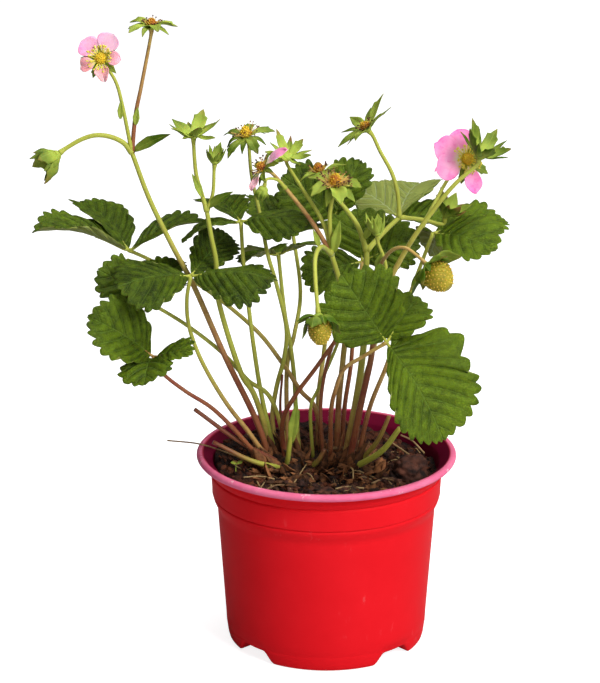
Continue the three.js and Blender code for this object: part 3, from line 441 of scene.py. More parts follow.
def icosahedron() -> tuple[Array, Array]:
    """A twenty-sided solid of radius one, its corners at (0, a, b) and the two shifts of that,
    with a = 1 and b the golden ratio, either sign each.

    Returns:
        Its corners and its faces.
    """
    golden = (1 + math.sqrt(5)) / 2
    signs = np.array([(0, a, b) for a in (-1, 1) for b in (-golden, golden)])
    places = unit(np.concatenate([np.roll(signs, shift, axis=1) for shift in range(3)]))
    near = np.linalg.norm(places[:, None] - places, axis=-1) < 1.1
    triples = np.array(np.meshgrid(*[np.arange(12)] * 3, indexing="ij")).reshape(3, -1).T
    a, b, c = triples.T
    triples = triples[(a < b) & (b < c) & near[a, b] & near[b, c] & near[a, c]]
    corner = places[triples]
    normal = np.cross(corner[:, 1] - corner[:, 0], corner[:, 2] - corner[:, 0])
    inward = (normal * corner[:, 0]).sum(axis=1) < 0
    triples[inward] = triples[inward][:, ::-1]
    return places, triples


def copies(shapes: Array, faces: Array, flat: bool, tone: Array) -> Surface:
    """Many bodies of the same faces as one surface.

    Args:
        shapes: the corners of each, of shape (count, corners, 3).
        faces: the faces of one.
        flat: shades them flat.
        tone: one value for each.

    Returns:
        The surface with a value "tone".
    """
    count, corners, _ = shapes.shape
    blocks = faces[None] + corners * np.arange(count)[:, None, None]
    blocks = [blocks.reshape(-1, faces.shape[1])]
    return Surface(shapes.reshape(-1, 3), blocks, [flat], {"tone": np.repeat(tone, corners)})


def slivers(feet: Array, ways: Array, sizes: Array) -> Surface:
    """Hairs: thin closed pyramids of three sides.

    Args:
        feet: where each stands.
        ways: the unit direction of each.
        sizes: lengths in mm.

    Returns:
        All of them.
    """
    one = unit(np.cross(ways, np.array([0.42, 0.11, 0.9])))
    two = np.cross(ways, one)
    cosine, sine = compass(turns(3)).T[..., None]
    base = feet[:, None] + HAIR_RADIUS * (one[:, None] * cosine + two[:, None] * sine)
    shapes = np.concatenate([base, (feet + ways * sizes[:, None])[:, None]], axis=1)
    faces = np.array([[0, 1, 3], [1, 2, 3], [2, 0, 3], [0, 2, 1]])
    return copies(shapes, faces, False, np.full(len(feet), 0.5))


def beads(
    places: Array, ways: Array, sizes: Array, slim: float, rng: np.random.Generator
) -> Surface:
    """Small egg shapes that stand along their directions: icosahedra, stretched along.

    Args:
        places: their middles.
        ways: the unit direction of each.
        sizes: half-lengths in mm.
        slim: width as a share of length.
        rng: the draw for their sizes.

    Returns:
        All of them, with a value "tone".
    """
    corners, faces = icosahedron()
    count = len(places)
    one = unit(np.cross(ways, np.array([0.37, 0.21, 0.9])))
    axes = np.stack([one * slim, np.cross(ways, one) * slim, ways], axis=1)
    local = corners[None] * (sizes * rng.uniform(0.85, 1.15, count))[:, None, None]
    return copies(places[:, None] + local @ axes, faces, False, rng.uniform(0, 1, count))


# Finishes


class Tree:
    """Adds nodes to a node tree, with inputs given by name."""

    def __init__(self, tree: bpy.types.NodeTree) -> None:
        """Takes the tree to add to."""
        self.tree = tree

    def node(self, kind: str, settings: dict | None = None, **inputs: object) -> bpy.types.Node:
        """Adds a node.

        Args:
            kind: its type, without the leading ShaderNode.
            settings: properties to set on it.
            inputs: values or sockets for its inputs, with _ for a space.

        Returns:
            The node.
        """
        made = self.tree.nodes.new("ShaderNode" + kind)
        for key, value in (settings or {}).items():
            setattr(made, key, value)
        for key, value in inputs.items():
            self.feed(made.inputs[key.replace("_", " ")], value)
        return made

    def feed(self, socket: Socket, value: object) -> None:
        """Feeds an input.

        Args:
            socket: the input.
            value: the output to link it to, or the value to set.
        """
        if isinstance(value, Socket):
            self.tree.links.new(value, socket)
        else:
            socket.default_value = (*value, 1) if socket.type == "RGBA" else value

    def values(self, *names: str) -> list[Socket]:
        """Reads named values of the mesh."""
        return [self.node("Attribute", {"attribute_name": name}).outputs["Fac"] for name in names]

    def place(self) -> Socket:
        """Reads the place in the plant's frame, in metres."""
        return self.node("TexCoord").outputs["Object"]

    def squeezed(self, tall: float) -> Socket:
        """Reads the place with its height scaled, so that noise runs in upright streaks."""
        return self.node("Mapping", Vector=self.place(), Scale=(1, 1, tall)).outputs[0]

    def math(self, operation: str, *terms: object) -> Socket:
        """Works out an operation on numbers.

        Args:
            operation: its name.
            terms: one, two or three numbers or sockets.

        Returns:
            The result.
        """
        made = self.node("Math", {"operation": operation})
        for socket, term in zip(made.inputs, terms):
            self.feed(socket, term)
        return made.outputs[0]

    def times(self, value: object, factor: object) -> Socket:
        """Multiplies two numbers."""
        return self.math("MULTIPLY", value, factor)

    def line(self, value: object, slope: object, start: object) -> Socket:
        """Multiplies a value by a slope and adds a start."""
        return self.math("MULTIPLY_ADD", value, slope, start)

    def step(self, value: object, low: float, high: float) -> Socket:
        """Rises smoothly from 0 at low to 1 at high, or falls where high is under low.

        Args:
            value: the number that is judged.
            low: where the step starts.
            high: where it ends.

        Returns:
            The share, from 0 to 1.
        """
        ends = dict(zip(("From_Min", "From_Max"), sorted((low, high))))
        ends |= {"To_Min": float(low > high), "To_Max": float(low < high)}
        settings = {"interpolation_type": "SMOOTHSTEP"}
        return self.node("MapRange", settings, Value=value, **ends).outputs[0]

    def mix(self, share: object, first: object, second: object) -> Socket:
        """Mixes two colours.

        Args:
            share: of the second colour, which is kept between 0 and 1.
            first: a colour.
            second: a colour.

        Returns:
            The mixture.
        """
        made = self.node("Mix", {"data_type": "RGBA"})
        for index, value in ((0, share), (6, first), (7, second)):
            self.feed(made.inputs[index], value)
        return made.outputs[2]

    def noise(self, scale: object, detail: float, roughness: float, vector: Socket) -> Socket:
        """Noise from 0 to 1 over a place, with scale in waves per metre."""
        inputs = {"Scale": scale, "Detail": detail, "Roughness": roughness, "Vector": vector}
        return self.node("TexNoise", **inputs).outputs["Fac"]

    def group(self, tree: bpy.types.NodeTree, output: str, **inputs: object) -> Socket:
        """Places a node group with its own values and returns one of its outputs."""
        return self.node("Group", {"node_tree": tree}, **inputs).outputs[output]

    def bump(self, height: Socket, strength: float, distance_mm: float) -> Socket:
        """Turns a height into a normal."""
        inputs = {"Height": height, "Strength": strength, "Distance": distance_mm * MM}
        return self.node("Bump", **inputs).outputs["Normal"]


class Effect(Tree):
    """A node group with named inputs and one output, built once and placed in many materials."""

    def __init__(self, name: str, output: str, **inputs: float | None) -> None:
        """Makes the group.

        Args:
            name: its name.
            output: the name of its output.
            inputs: for each number its default, and None for a vector.
        """
        super().__init__(bpy.data.node_groups.new(name, "ShaderNodeTree"))
        new_socket = self.tree.interface.new_socket
        for key, value in inputs.items():
            kind = "NodeSocketVector" if value is None else "NodeSocketFloat"
            socket = new_socket(key, in_out="INPUT", socket_type=kind)
            if value is not None:
                socket.default_value = value
        new_socket(output, in_out="OUTPUT", socket_type="NodeSocketFloat")
        given = self.tree.nodes.new("NodeGroupInput").outputs
        self.given = [given[key] for key in inputs]
        self.result = self.tree.nodes.new("NodeGroupOutput").inputs[output]

    def closed(self, value: Socket) -> bpy.types.NodeTree:
        """Feeds the output and returns the finished group."""
        self.feed(self.result, value)
        return self.tree


@cache
def mottle_effect() -> bpy.types.NodeTree:
    """Soft patches over finer ones, as on anything grown: large noise plus a third of fine
    noise, stretched to the full range.

    Returns:
        The group.
    """
    it = Effect("mottle", "Mask", Vector=None, Scale=60.0, Contrast=2.2)
    vector, scale, contrast = it.given
    coarse = it.noise(scale, 3, 0.55, vector)
    fine = it.noise(it.times(scale, 5.3), 4, 0.6, vector)
    both = it.line(it.math("SUBTRACT", fine, 0.5), 0.35, coarse)
    spread = it.line(it.math("SUBTRACT", both, 0.5), contrast, 0.5)
    return it.closed(it.node("Clamp", Value=spread).outputs[0])


@cache
def relief_effect() -> bpy.types.NodeTree:
    """Grain for a bump: noise at one scale plus half as much at a scale four times finer.

    Returns:
        The group.
    """
    it = Effect("relief", "Height", Vector=None, Scale=800.0)
    vector, scale = it.given
    coarse = it.noise(scale, 2, 0.5, vector)
    fine = it.noise(it.times(scale, 4.1), 2, 0.5, vector)
    return it.closed(it.line(fine, 0.5, coarse))


class Finish(Tree):
    """A material with one Principled shader."""

    def __init__(self, name: str, **shader: object) -> None:
        """Makes the material.

        Args:
            name: its name.
            shader: values of the shader that are the same all over.
        """
        self.material = bpy.data.materials.new(name)
        self.material.use_nodes = True
        super().__init__(self.material.node_tree)
        self.tree.nodes.clear()
        self.shader = self.node("BsdfPrincipled", **{"Specular_IOR_Level": 0.2, **shader})
        self.node("OutputMaterial", Surface=self.shader.outputs[0])

    def patches(self, scale: float, contrast: float = 2.2, vector: object = None) -> Socket:
        """Soft patches from 0 to 1, with scale in patches per metre."""
        inputs = {"Vector": vector or self.place(), "Scale": scale, "Contrast": contrast}
        return self.group(mottle_effect(), "Mask", **inputs)

    def grain(self, scale: float, vector: object = None) -> Socket:
        """A height of fine grain, with scale in waves per metre."""
        inputs = {"Vector": vector or self.place(), "Scale": scale}
        return self.group(relief_effect(), "Height", **inputs)

    def done(self, colour: object, roughness: object, normal: Socket) -> Material:
        """Feeds the shader.

        Args:
            colour: its base colour.
            roughness: from 0 to 1.
            normal: the bumped normal.

        Returns:
            The material.
        """
        for key, value in (("Base Color", colour), ("Roughness", roughness), ("Normal", normal)):
            self.feed(self.shader.inputs[key], value)
        return self.material


@dataclass(frozen=True)
class LeafFinish:
    """Toothed leaves: a net of veins sunk in a satin upper side, painted shade in the creases
    beside the side veins, and a pale matte underside.
    """

    deep: Colour = (0.017, 0.031, 0.001)
    fresh: Colour = (0.122, 0.190, 0.006)
    vein: Colour = (0.17, 0.27, 0.04)
    under: Colour = (0.25, 0.29, 0.065)
    under_deep: Colour = (0.14, 0.18, 0.04)
    under_vein: Colour = (0.40, 0.47, 0.24)

    def made(self) -> Material:
        """Builds the material from the values vein, rib, out, under and tone of the mesh.

        Returns:
            The material.
        """
        soft = {"Subsurface_Weight": 0.05, "Subsurface_Scale": 0.0006}
        it = Finish("leaf_blade", Specular_IOR_Level=0.12, **soft)
        vein, rib, out, under, tone = it.values("vein", "rib", "out", "under", "tone")
        patches, flecks = it.patches(70.0, 2.0), it.patches(330.0, 2.6)
        # Painted shade: the blade is darkened in the creases beside each side vein, away from the
        # rim.
        painted_crease_shade = it.times(it.step(vein, 0.34, 0.08), it.step(out, 1.1, 0.5))
        share = it.line(tone, 0.64, it.line(painted_crease_shade, -0.26, -0.24))
        share = it.line(patches, 0.36, it.line(flecks, 0.62, share))
        cells = {"Vector": it.place(), "Scale": 850.0}
        cells = it.node("TexVoronoi", {"feature": "DISTANCE_TO_EDGE"}, **cells)
        net = it.step(cells.outputs["Distance"], 0.12, 0.0)
        side_vein = it.times(it.step(vein, 0.11, 0.0), it.step(out, 1.05, 0.6))
        lines = it.math("MAXIMUM", side_vein, it.step(rib, 0.5, 0.15))
        upper = it.mix(it.times(net, 0.3), it.mix(share, self.deep, self.fresh), self.vein)
        upper = it.mix(it.times(lines, 0.36), upper, self.vein)
        below = it.mix(it.times(patches, 0.35), self.under, self.under_deep)
        below = it.mix(it.times(lines, 0.6), below, self.under_vein)
        sunk = it.line(lines, -1.0, it.line(net, -0.8, it.times(it.grain(900.0), 0.5)))
        rough = it.line(under, 0.2, it.line(patches, 0.14, 0.42))
        return it.done(it.mix(under, upper, below), rough, it.bump(sunk, 0.9, 0.6))


@dataclass(frozen=True)
class StalkFinish:
    """Stalks: reddish brown near the soil, green above, with fine stripes along them."""

    name: str
    low: Colour
    middle: Colour
    high: Colour
    blush: Colour = (0.20, 0.035, 0.022)

    def made(self) -> Material:
        """Builds the material from the height in the plant and from the value tone of the
        mesh: the greener a stalk is, the lower it turns from red to green.

        Returns:
            The material.
        """
        soft = {"Subsurface_Weight": 0.05, "Subsurface_Scale": 0.0008}
        it = Finish(self.name, Sheen_Weight=0.08, Sheen_Roughness=0.4, **soft)
        (tone,) = it.values("tone")
        height = it.node("SeparateXYZ", Vector=it.place()).outputs["Z"]
        patches = it.patches(110.0, 2.4)
        turning = it.line(tone, -0.13, it.line(patches, -0.03, 0.20))
        rise = it.math("SUBTRACT", height, turning)
        colour = it.mix(it.step(rise, -0.045, -0.005), self.low, self.middle)
        colour = it.mix(it.step(rise, -0.015, 0.045), colour, self.high)
        flushed = it.times(it.step(patches, 0.42, 0.95), it.step(rise, 0.09, -0.02))
        colour = it.mix(it.times(flushed, 0.7), colour, self.blush)
        grain = it.grain(1400.0, it.squeezed(0.12))
        return it.done(colour, it.line(patches, 0.2, 0.36), it.bump(grain, 0.35, 0.25))


@dataclass(frozen=True)
class SepalFinish:
    """Sepals, epicalyx and bracts: dark or pale green, paler at their feet and on their undersides,
    with a light rib and brown tips on the ones that have begun to dry. The paler underside is
    partly their own colour and partly painted light on the shaded lower side."""

    dark: Colour = (0.045, 0.088, 0.003)
    pale: Colour = (0.31, 0.385, 0.055)
    dry: Colour = (0.20, 0.11, 0.03)

    def made(self) -> Material:
        """Builds the material from the values along, rib, under, dry and tone of the mesh.

        Returns:
            The material.
        """
        soft = {"Subsurface_Weight": 0.08, "Subsurface_Scale": 0.0006}
        it = Finish("sepal", Specular_IOR_Level=0.1, **soft)
        along, rib, under, tone, dry = it.values("along", "rib", "under", "tone", "dry")
        patches = it.patches(190.0, 2.0)
        foot = it.times(it.step(along, 0.75, 0.1), 0.6)
        share = it.line(patches, 0.4, it.line(tone, 1.0, -0.36))
        # Paler on the underside: partly the sepal's own paler underside, partly painted light that
        # brightens the shaded lower side.
        share = it.math("ADD", share, it.line(under, 0.22, foot))
        colour = it.mix(share, self.dark, self.pale)
        colour = it.mix(it.times(it.step(rib, 0.28, 0.06), 0.3), colour, self.pale)
        end = it.step(it.line(patches, 0.3, it.line(dry, 0.3, along)), 1.05, 1.4)
        colour = it.mix(it.times(end, dry), colour, self.dry)
        return it.done(colour, it.line(patches, 0.15, 0.42), it.bump(it.grain(1500.0), 0.35, 0.2))


@dataclass(frozen=True)
class PetalFinish:
    """Petals: pale lilac pink on one flower, stronger pink with magenta patches on another,
    cream at their feet, with faint veins that fan out. Withered ones turn salmon and brown."""

    light: Colour = (0.86, 0.50, 0.64)
    full: Colour = (0.84, 0.14, 0.42)
    magenta: Colour = (0.62, 0.05, 0.27)
    foot: Colour = (0.86, 0.78, 0.52)
    withered: Colour = (0.74, 0.34, 0.24)

    def made(self) -> Material:
        """Builds the material from the values along, across, wilt and tone of the mesh.

        Returns:
            The material.
        """
        soft = {"Subsurface_Weight": 0.15, "Subsurface_Scale": 0.0008}
        it = Finish("petal", Sheen_Weight=0.1, Sheen_Roughness=0.35, **soft)
        along, across, tone, wilt = it.values("along", "across", "tone", "wilt")
        patches = it.patches(220.0, 1.8)
        fan = it.math("ABSOLUTE", it.math("SINE", it.times(across, 16.0)))
        veins = it.times(it.step(fan, 0.35, 0.0), it.step(along, 1.0, 0.5))
        flushed = it.times(it.times(it.step(patches, 0.45, 0.95), tone), 0.6)
        colour = it.mix(it.line(patches, 0.3, it.line(tone, 0.9, -0.1)), self.light, self.full)
        colour = it.mix(flushed, colour, self.magenta)
        colour = it.mix(it.times(veins, 0.22), colour, self.full)
        colour = it.mix(it.times(wilt, it.line(patches, 0.5, 0.4)), colour, self.withered)
        colour = it.mix(it.step(along, 0.34, 0.05), colour, self.foot)
        height = it.line(veins, -0.5, it.grain(1800.0))
        return it.done(colour, it.line(patches, 0.15, 0.5), it.bump(height, 0.3, 0.2))


@dataclass(frozen=True)
class GrownFinish:
    """A mottled finish between two colours, with grain: for stamens, berries, bark and straw."""

    name: str
    first: Colour
    second: Colour
    scale: float = 300.0
    grain: float = 1500.0
    roughness: float = 0.5
    bump_mm: float = 0.2
    subsurface: float = 0.0

    def made(self) -> Material:
        """Builds the material. The value tone of the mesh moves it towards the second colour.

        Returns:
            The material.
        """
        soft = {"Subsurface_Weight": self.subsurface, "Subsurface_Scale": 0.001}
        it = Finish(self.name, **soft)
        (tone,) = it.values("tone")
        patches = it.patches(self.scale, 2.6)
        colour = it.line(patches, 0.6, it.line(tone, 0.8, -0.15))
        colour = it.mix(colour, self.first, self.second)
        normal = it.bump(it.grain(self.grain), 0.6, self.bump_mm)
        return it.done(colour, it.line(patches, 0.2, self.roughness), normal)


@dataclass(frozen=True)
class PotFinish:
    """Moulded plastic: red, with a pinker rim that is paler in patches, a few pale scuffs,
    and painted shade that darkens the inner wall.
    """

    red: Colour = (0.68, 0.0095, 0.0155)
    red_deep: Colour = (0.62, 0.0065, 0.0115)
    rim: Colour = (0.67, 0.12, 0.235)
    rim_pale: Colour = (0.77, 0.205, 0.33)
    # Painted shade: the inner wall, the same red plastic, is painted a dark red.
    inside: Colour = (0.13, 0.004, 0.022)
    scuff: Colour = (0.80, 0.52, 0.56)

    def made(self) -> Material:
        """Builds the material from the values rim and inside of the mesh.

        Returns:
            The material.
        """
        it = Finish("pot_plastic", Specular_IOR_Level=0.03)
        rim, inside = it.values("rim", "inside")
        patches = it.patches(26.0, 1.6)
        marks = it.patches(420.0, 3.0, it.squeezed(0.3))
        scratched = it.times(it.step(marks, 0.9, 1.0), it.step(patches, 0.6, 0.95))
        colour = it.mix(patches, self.red_deep, self.red)
        colour = it.mix(it.times(scratched, 0.08), colour, self.scuff)
        rim_tint = it.mix(it.times(it.patches(75.0, 2.6), 0.7), self.rim, self.rim_pale)
        nicks = it.step(it.patches(160.0, 3.0), 0.9, 1.0)
        rim_tint = it.mix(it.times(nicks, 0.6), rim_tint, self.scuff)
        # Painted shade on the inner wall, where the mesh value inside is 1.
        colour = it.mix(inside, it.mix(rim, colour, rim_tint), self.inside)
        rough = it.line(patches, 0.08, it.line(scratched, 0.2, 0.44))
        height = it.line(scratched, -0.4, it.grain(520.0))
        return it.done(colour, rough, it.bump(height, 0.10, 0.3))


@dataclass(frozen=True)
class SoilFinish:
    """Moist peat: nearly black crumbs with brown fibre showing between them."""

    dark: Colour = (0.009, 0.003, 0.002)
    brown: Colour = (0.140, 0.038, 0.014)

    def made(self) -> Material:
        """Builds the material. The value tone of the mesh moves it towards brown.

        Returns:
            The material.
        """
        it = Finish("peat")
        (tone,) = it.values("tone")
        patches = it.patches(170.0, 2.8)
        share = it.line(patches, 0.6, it.line(tone, 1.0, -0.25))
        normal = it.bump(it.grain(700.0), 1.0, 1.0)
        return it.done(it.mix(share, self.dark, self.brown), it.line(patches, 0.3, 0.5), normal)


@dataclass(frozen=True)
class FloorFinish:
    """The pale floor, lifted for the camera so that only a faint shadow is left on it."""

    colour: Colour = (0.50, 0.50, 0.51)
    speck: Colour = (0.47, 0.47, 0.47)
    glow: float = 0.84

    def made(self) -> Material:
        """Builds the material: a matte paint that also glows towards the camera.

        Returns:
            The material.
        """
        it = Finish("pale_floor", Emission_Color=(1.0, 1.0, 1.0))
        seen = it.node("LightPath").outputs["Is Camera Ray"]
        it.feed(it.shader.inputs["Emission Strength"], it.times(seen, self.glow))
        speckle = it.mix(it.times(it.patches(30.0), 0.03), self.colour, self.speck)
        return it.done(speckle, 0.7, it.bump(it.grain(300.0), 0.05, 0.3))


FINISHES = {
    "floor": FloorFinish(),
    "leaf": LeafFinish(),
    "stalk": StalkFinish("stalk", (0.235, 0.078, 0.030), (0.42, 0.26, 0.08), (0.37, 0.39, 0.055)),
    "stub": StalkFinish("cut_stalk", (0.17, 0.055, 0.025), (0.26, 0.13, 0.04), (0.36, 0.37, 0.05)),
    "sepal": SepalFinish(),
    "petal": PetalFinish(),
    "pistil": GrownFinish("pistil", (0.36, 0.11, 0.015), (0.74, 0.54, 0.03), subsurface=0.1),
    "stamen": GrownFinish("stamen", (0.50, 0.44, 0.03), (0.78, 0.68, 0.10), subsurface=0.1),
    "withered": GrownFinish("withered_stamen", (0.06, 0.016, 0.014), (0.66, 0.42, 0.11)),
    "berry": GrownFinish(
        "unripe_berry", (0.17, 0.15, 0.008), (0.46, 0.36, 0.028), subsurface=0.1, roughness=0.35
    ),
    "seed": GrownFinish("berry_seed", (0.42, 0.22, 0.02), (0.70, 0.50, 0.08), roughness=0.3),
    "pot": PotFinish(),
    "soil": SoilFinish(),
    "bark": GrownFinish("bark", (0.012, 0.006, 0.005), (0.13, 0.045, 0.026), 300, 900, 0.6, 0.9),
    "crown": GrownFinish(
        "crown_scale", (0.022, 0.010, 0.006), (0.30, 0.12, 0.045), 420, 1300, 0.6, 0.5
    ),
    "straw": GrownFinish("straw", (0.11, 0.05, 0.024), (0.40, 0.27, 0.12), 200, 2000, 0.5, 0.15),
    "down": GrownFinish("down", (0.45, 0.42, 0.26), (0.65, 0.62, 0.42)),
}


def mixed() -> Palette:
    """Builds each finish and returns them by name."""
    return {name: finish.made() for name, finish in FINISHES.items()}


# Pot


def beside(radius: float, height: float, *offsets: tuple[float, float]) -> list[Vec]:
    """Returns places of an outline at offsets from a radius and a height."""
    return [(radius + out, height + up) for out, up in offsets]


@dataclass
class Pot:
    """The pot: an outline turned about its axis, with four channels pressed up into the foot."""

    height: float = 98.5
    rim_radius: float = 65.0
    rim_roll: float = 3.4
    rim_curve: float = 1.6
    collar_radius: float = 58.2
    collar_bottom: float = 77.0
    collar_flare: float = 0.9
    groove_rise: float = 11.2
    shoulder_drop: float = 6.0
    body_top: float = 54.6
    body_low: float = 50.6
    foot_height: float = 8.0
    foot_inset: float = 0.8
    wall: float = 1.6
    channels: int = 4
    channel_turn_deg: float = 43.0
    channel_height: float = 5.8
    channel_low: float = 13.0
    channel_high: float = 7.0
    channel_start: float = 15.0
    drain_radius: float = 3.0
    drain_place: float = 37.0
    around: int = 288
    underside_rows: int = 34
    foot_rows: int = 11

    def outline(self) -> Array:
        """The outline from the middle of the underside out, up the wall, over the rim and down
        inside to below the soil.

        Returns:
            Rows of radius and height.
        """
        low, body, collar, rim = self.body_low, self.body_top, self.collar_radius, self.rim_radius
        foot, bottom, top = low - self.foot_inset, self.collar_bottom, self.height
        shoulder, under = bottom - self.shoulder_drop, top - self.rim_roll
        rows = [(r, 0.0) for r in np.linspace(1.5, foot - 2.2, self.underside_rows)]
        rows += beside(foot, 0, (-1.4, 0.05), (-0.75, 0.3), (-0.35, 0.8), (-0.22, 1.6))
        for s in np.linspace(0.15, 0.9, 5):
            rows.append((foot + self.foot_inset * s, self.foot_height * (0.2 + 0.75 * s)))
        rows += [(low - 0.15, 7.5), (low + 0.1, 8.3)]
        for s in np.linspace(0.08, 1, 12):
            rows.append((low + (body - low) * s, 8.3 + (shoulder - 12) * s))
        flare = collar - self.collar_flare
        start, edge, slope = shoulder - 2.4, bottom - 0.5, np.linspace(0, 1, 8)
        widened = body + (flare - 0.25 - body) * smoothstep(0, 1, slope)
        rows += list(zip(widened, start + (edge - start) * slope))
        rows += beside(flare, edge, (-0.7, 0.2), (-0.7, 0.5), (0.05, 0.7), (0.12, 1))
        for s in (0.1, 0.4, 0.6):
            rows.append((flare + self.collar_flare * s, bottom + 1 + 14.5 * s))
        groove, line = flare + self.collar_flare * 0.7, bottom + self.groove_rise
        rows += beside(groove, line, (0, -0.3), (-0.5, -0.1), (-0.5, 0.3), (0.1, 0.5))
        rows += [(flare + self.collar_flare * 0.9, bottom + 14), (collar, bottom + 15.5)]
        rows += beside(collar, under, (0.1, -1.3), (0.5, -0.5), (1.6, -0.1))
        rows += beside(rim, under, (-2.0, 0), (-0.9, 0.15))
        curl, turn = self.rim_curve, np.radians(np.linspace(-60, 90, 9))
        rows += [(rim - curl + curl * math.cos(t), top - curl + curl * math.sin(t)) for t in turn]
        rows += beside(rim - self.rim_roll, top, (1.0, 0), (0.3, -0.15), (-0.2, -0.6), (-0.8, -1.6))
        rows += beside(collar - self.wall, under, (0.6, -0.6), (0, -2.2), (-0.5, -9))
        rows += [(flare - self.wall, bottom), (body - self.wall, shoulder)]
        rows += [(low - self.wall, self.foot_height + 0.9)]
        rows += [(radius, self.foot_height + 0.6) for radius in (low - 8, 1.5)]
        return np.array(rows)

    def channel_turns(self) -> Array:
        """Returns the turns of the channels about the pot's axis, in radians."""
        return np.radians(self.channel_turn_deg + 360 / self.channels * np.arange(self.channels))

    def lift(self, places: Array) -> Array:
        """How far the channels raise the underside: fully within the narrow top of a channel,
        then evenly down to nothing at its wide foot, and not near the middle.

        Args:
            places: flat places on the underside.

        Returns:
            A height for each, in mm.
        """
        turn = self.channel_turns()
        along = places @ np.stack([np.sin(turn), -np.cos(turn)])
        across = np.abs(places @ np.stack([np.cos(turn), np.sin(turn)]))
        sides = 1 - smoothstep(self.channel_high - 0.8, self.channel_low - 0.2, across)
        ends = smoothstep(self.channel_start - 1.2, self.channel_start + 1.2, along)
        return (self.channel_height * sides * ends).max(axis=-1)

    def made(self, palette: Palette) -> None:
        """Builds the pot.

        Args:
            palette: the finishes.
        """
        radius, height = self.outline().T
        flat = radius[:, None, None] * compass(turns(self.around))
        level = np.repeat(height[:, None], self.around, axis=1)
        foot = self.foot_height + 0.3
        raised = self.lift(flat)
        number = np.arange(len(radius))
        is_low = (number < self.underside_rows + self.foot_rows)[:, None]
        level = np.where(is_low & (level < foot), raised + (foot - raised) * level / foot, level)
        ends = np.array([[0, 0, 0.0], [0, 0, height[-1]]])
        lip, under = int(np.argmax(height >= self.height)), self.height - self.rim_roll
        # inside marks the inner wall, which the finish paints with shade.
        inside = smoothstep(0, 1, (number - lip - 1) / 2.0)
        rim = smoothstep(under - 0.35, under + 0.35, height) * (1 - inside)
        shell = closed_rings(at_height(flat, level), ends, rim=rim, inside=inside)
        self.drill(shell.made("pot_shell", palette["pot"], "pot", "pot"))

    def drill(self, piece: bpy.types.Object) -> None:
        """Cuts a round drain hole up through each channel's roof.

        Args:
            piece: the shell to cut.
        """
        bits = []
        for sine, cosine in compass(self.channel_turns())[:, ::-1]:
            foot = (self.drain_place * sine, -self.drain_place * cosine, self.channel_height - 2)
            profile = [(self.drain_radius, 0), (self.drain_radius, 6)]
            bits.append(turned(profile, foot, (0, 0, 1), 40))
        whole = Surface.joined(bits)
        whole.flat = [True] * len(whole.flat)
        cutter = placed("drain_bits", whole.mesh("drain_bits"))
        cut = piece.modifiers.new("drains", "BOOLEAN")
        cut.operation, cut.solver, cut.object = "DIFFERENCE", "EXACT", cutter
        bpy.context.view_layer.update()
        evaluated = piece.evaluated_get(bpy.context.evaluated_depsgraph_get())
        drilled = bpy.data.meshes.new_from_object(evaluated)
        piece.modifiers.clear()
        before, mesh, piece.data = piece.data, cutter.data, drilled
        bpy.data.objects.remove(cutter)
        bpy.data.meshes.remove(before)
        bpy.data.meshes.remove(mesh)
        LOG.info("pot_shell drilled: %d faces", len(drilled.polygons))


# Soil


def layered(points: Array, seed: int, *layers: tuple[float, float]) -> Array:
    """Returns noise summed over layers of height and reach, each drawn by the next seed."""
    return sum(tall * wavy(points, reach, seed + k) for k, (tall, reach) in enumerate(layers))


def kept_in(flat: Array, radius: float) -> Array:
    """Returns flat places with those beyond a radius drawn in to it."""
    return flat * np.minimum(1, radius / np.linalg.norm(flat, axis=1, keepdims=True))


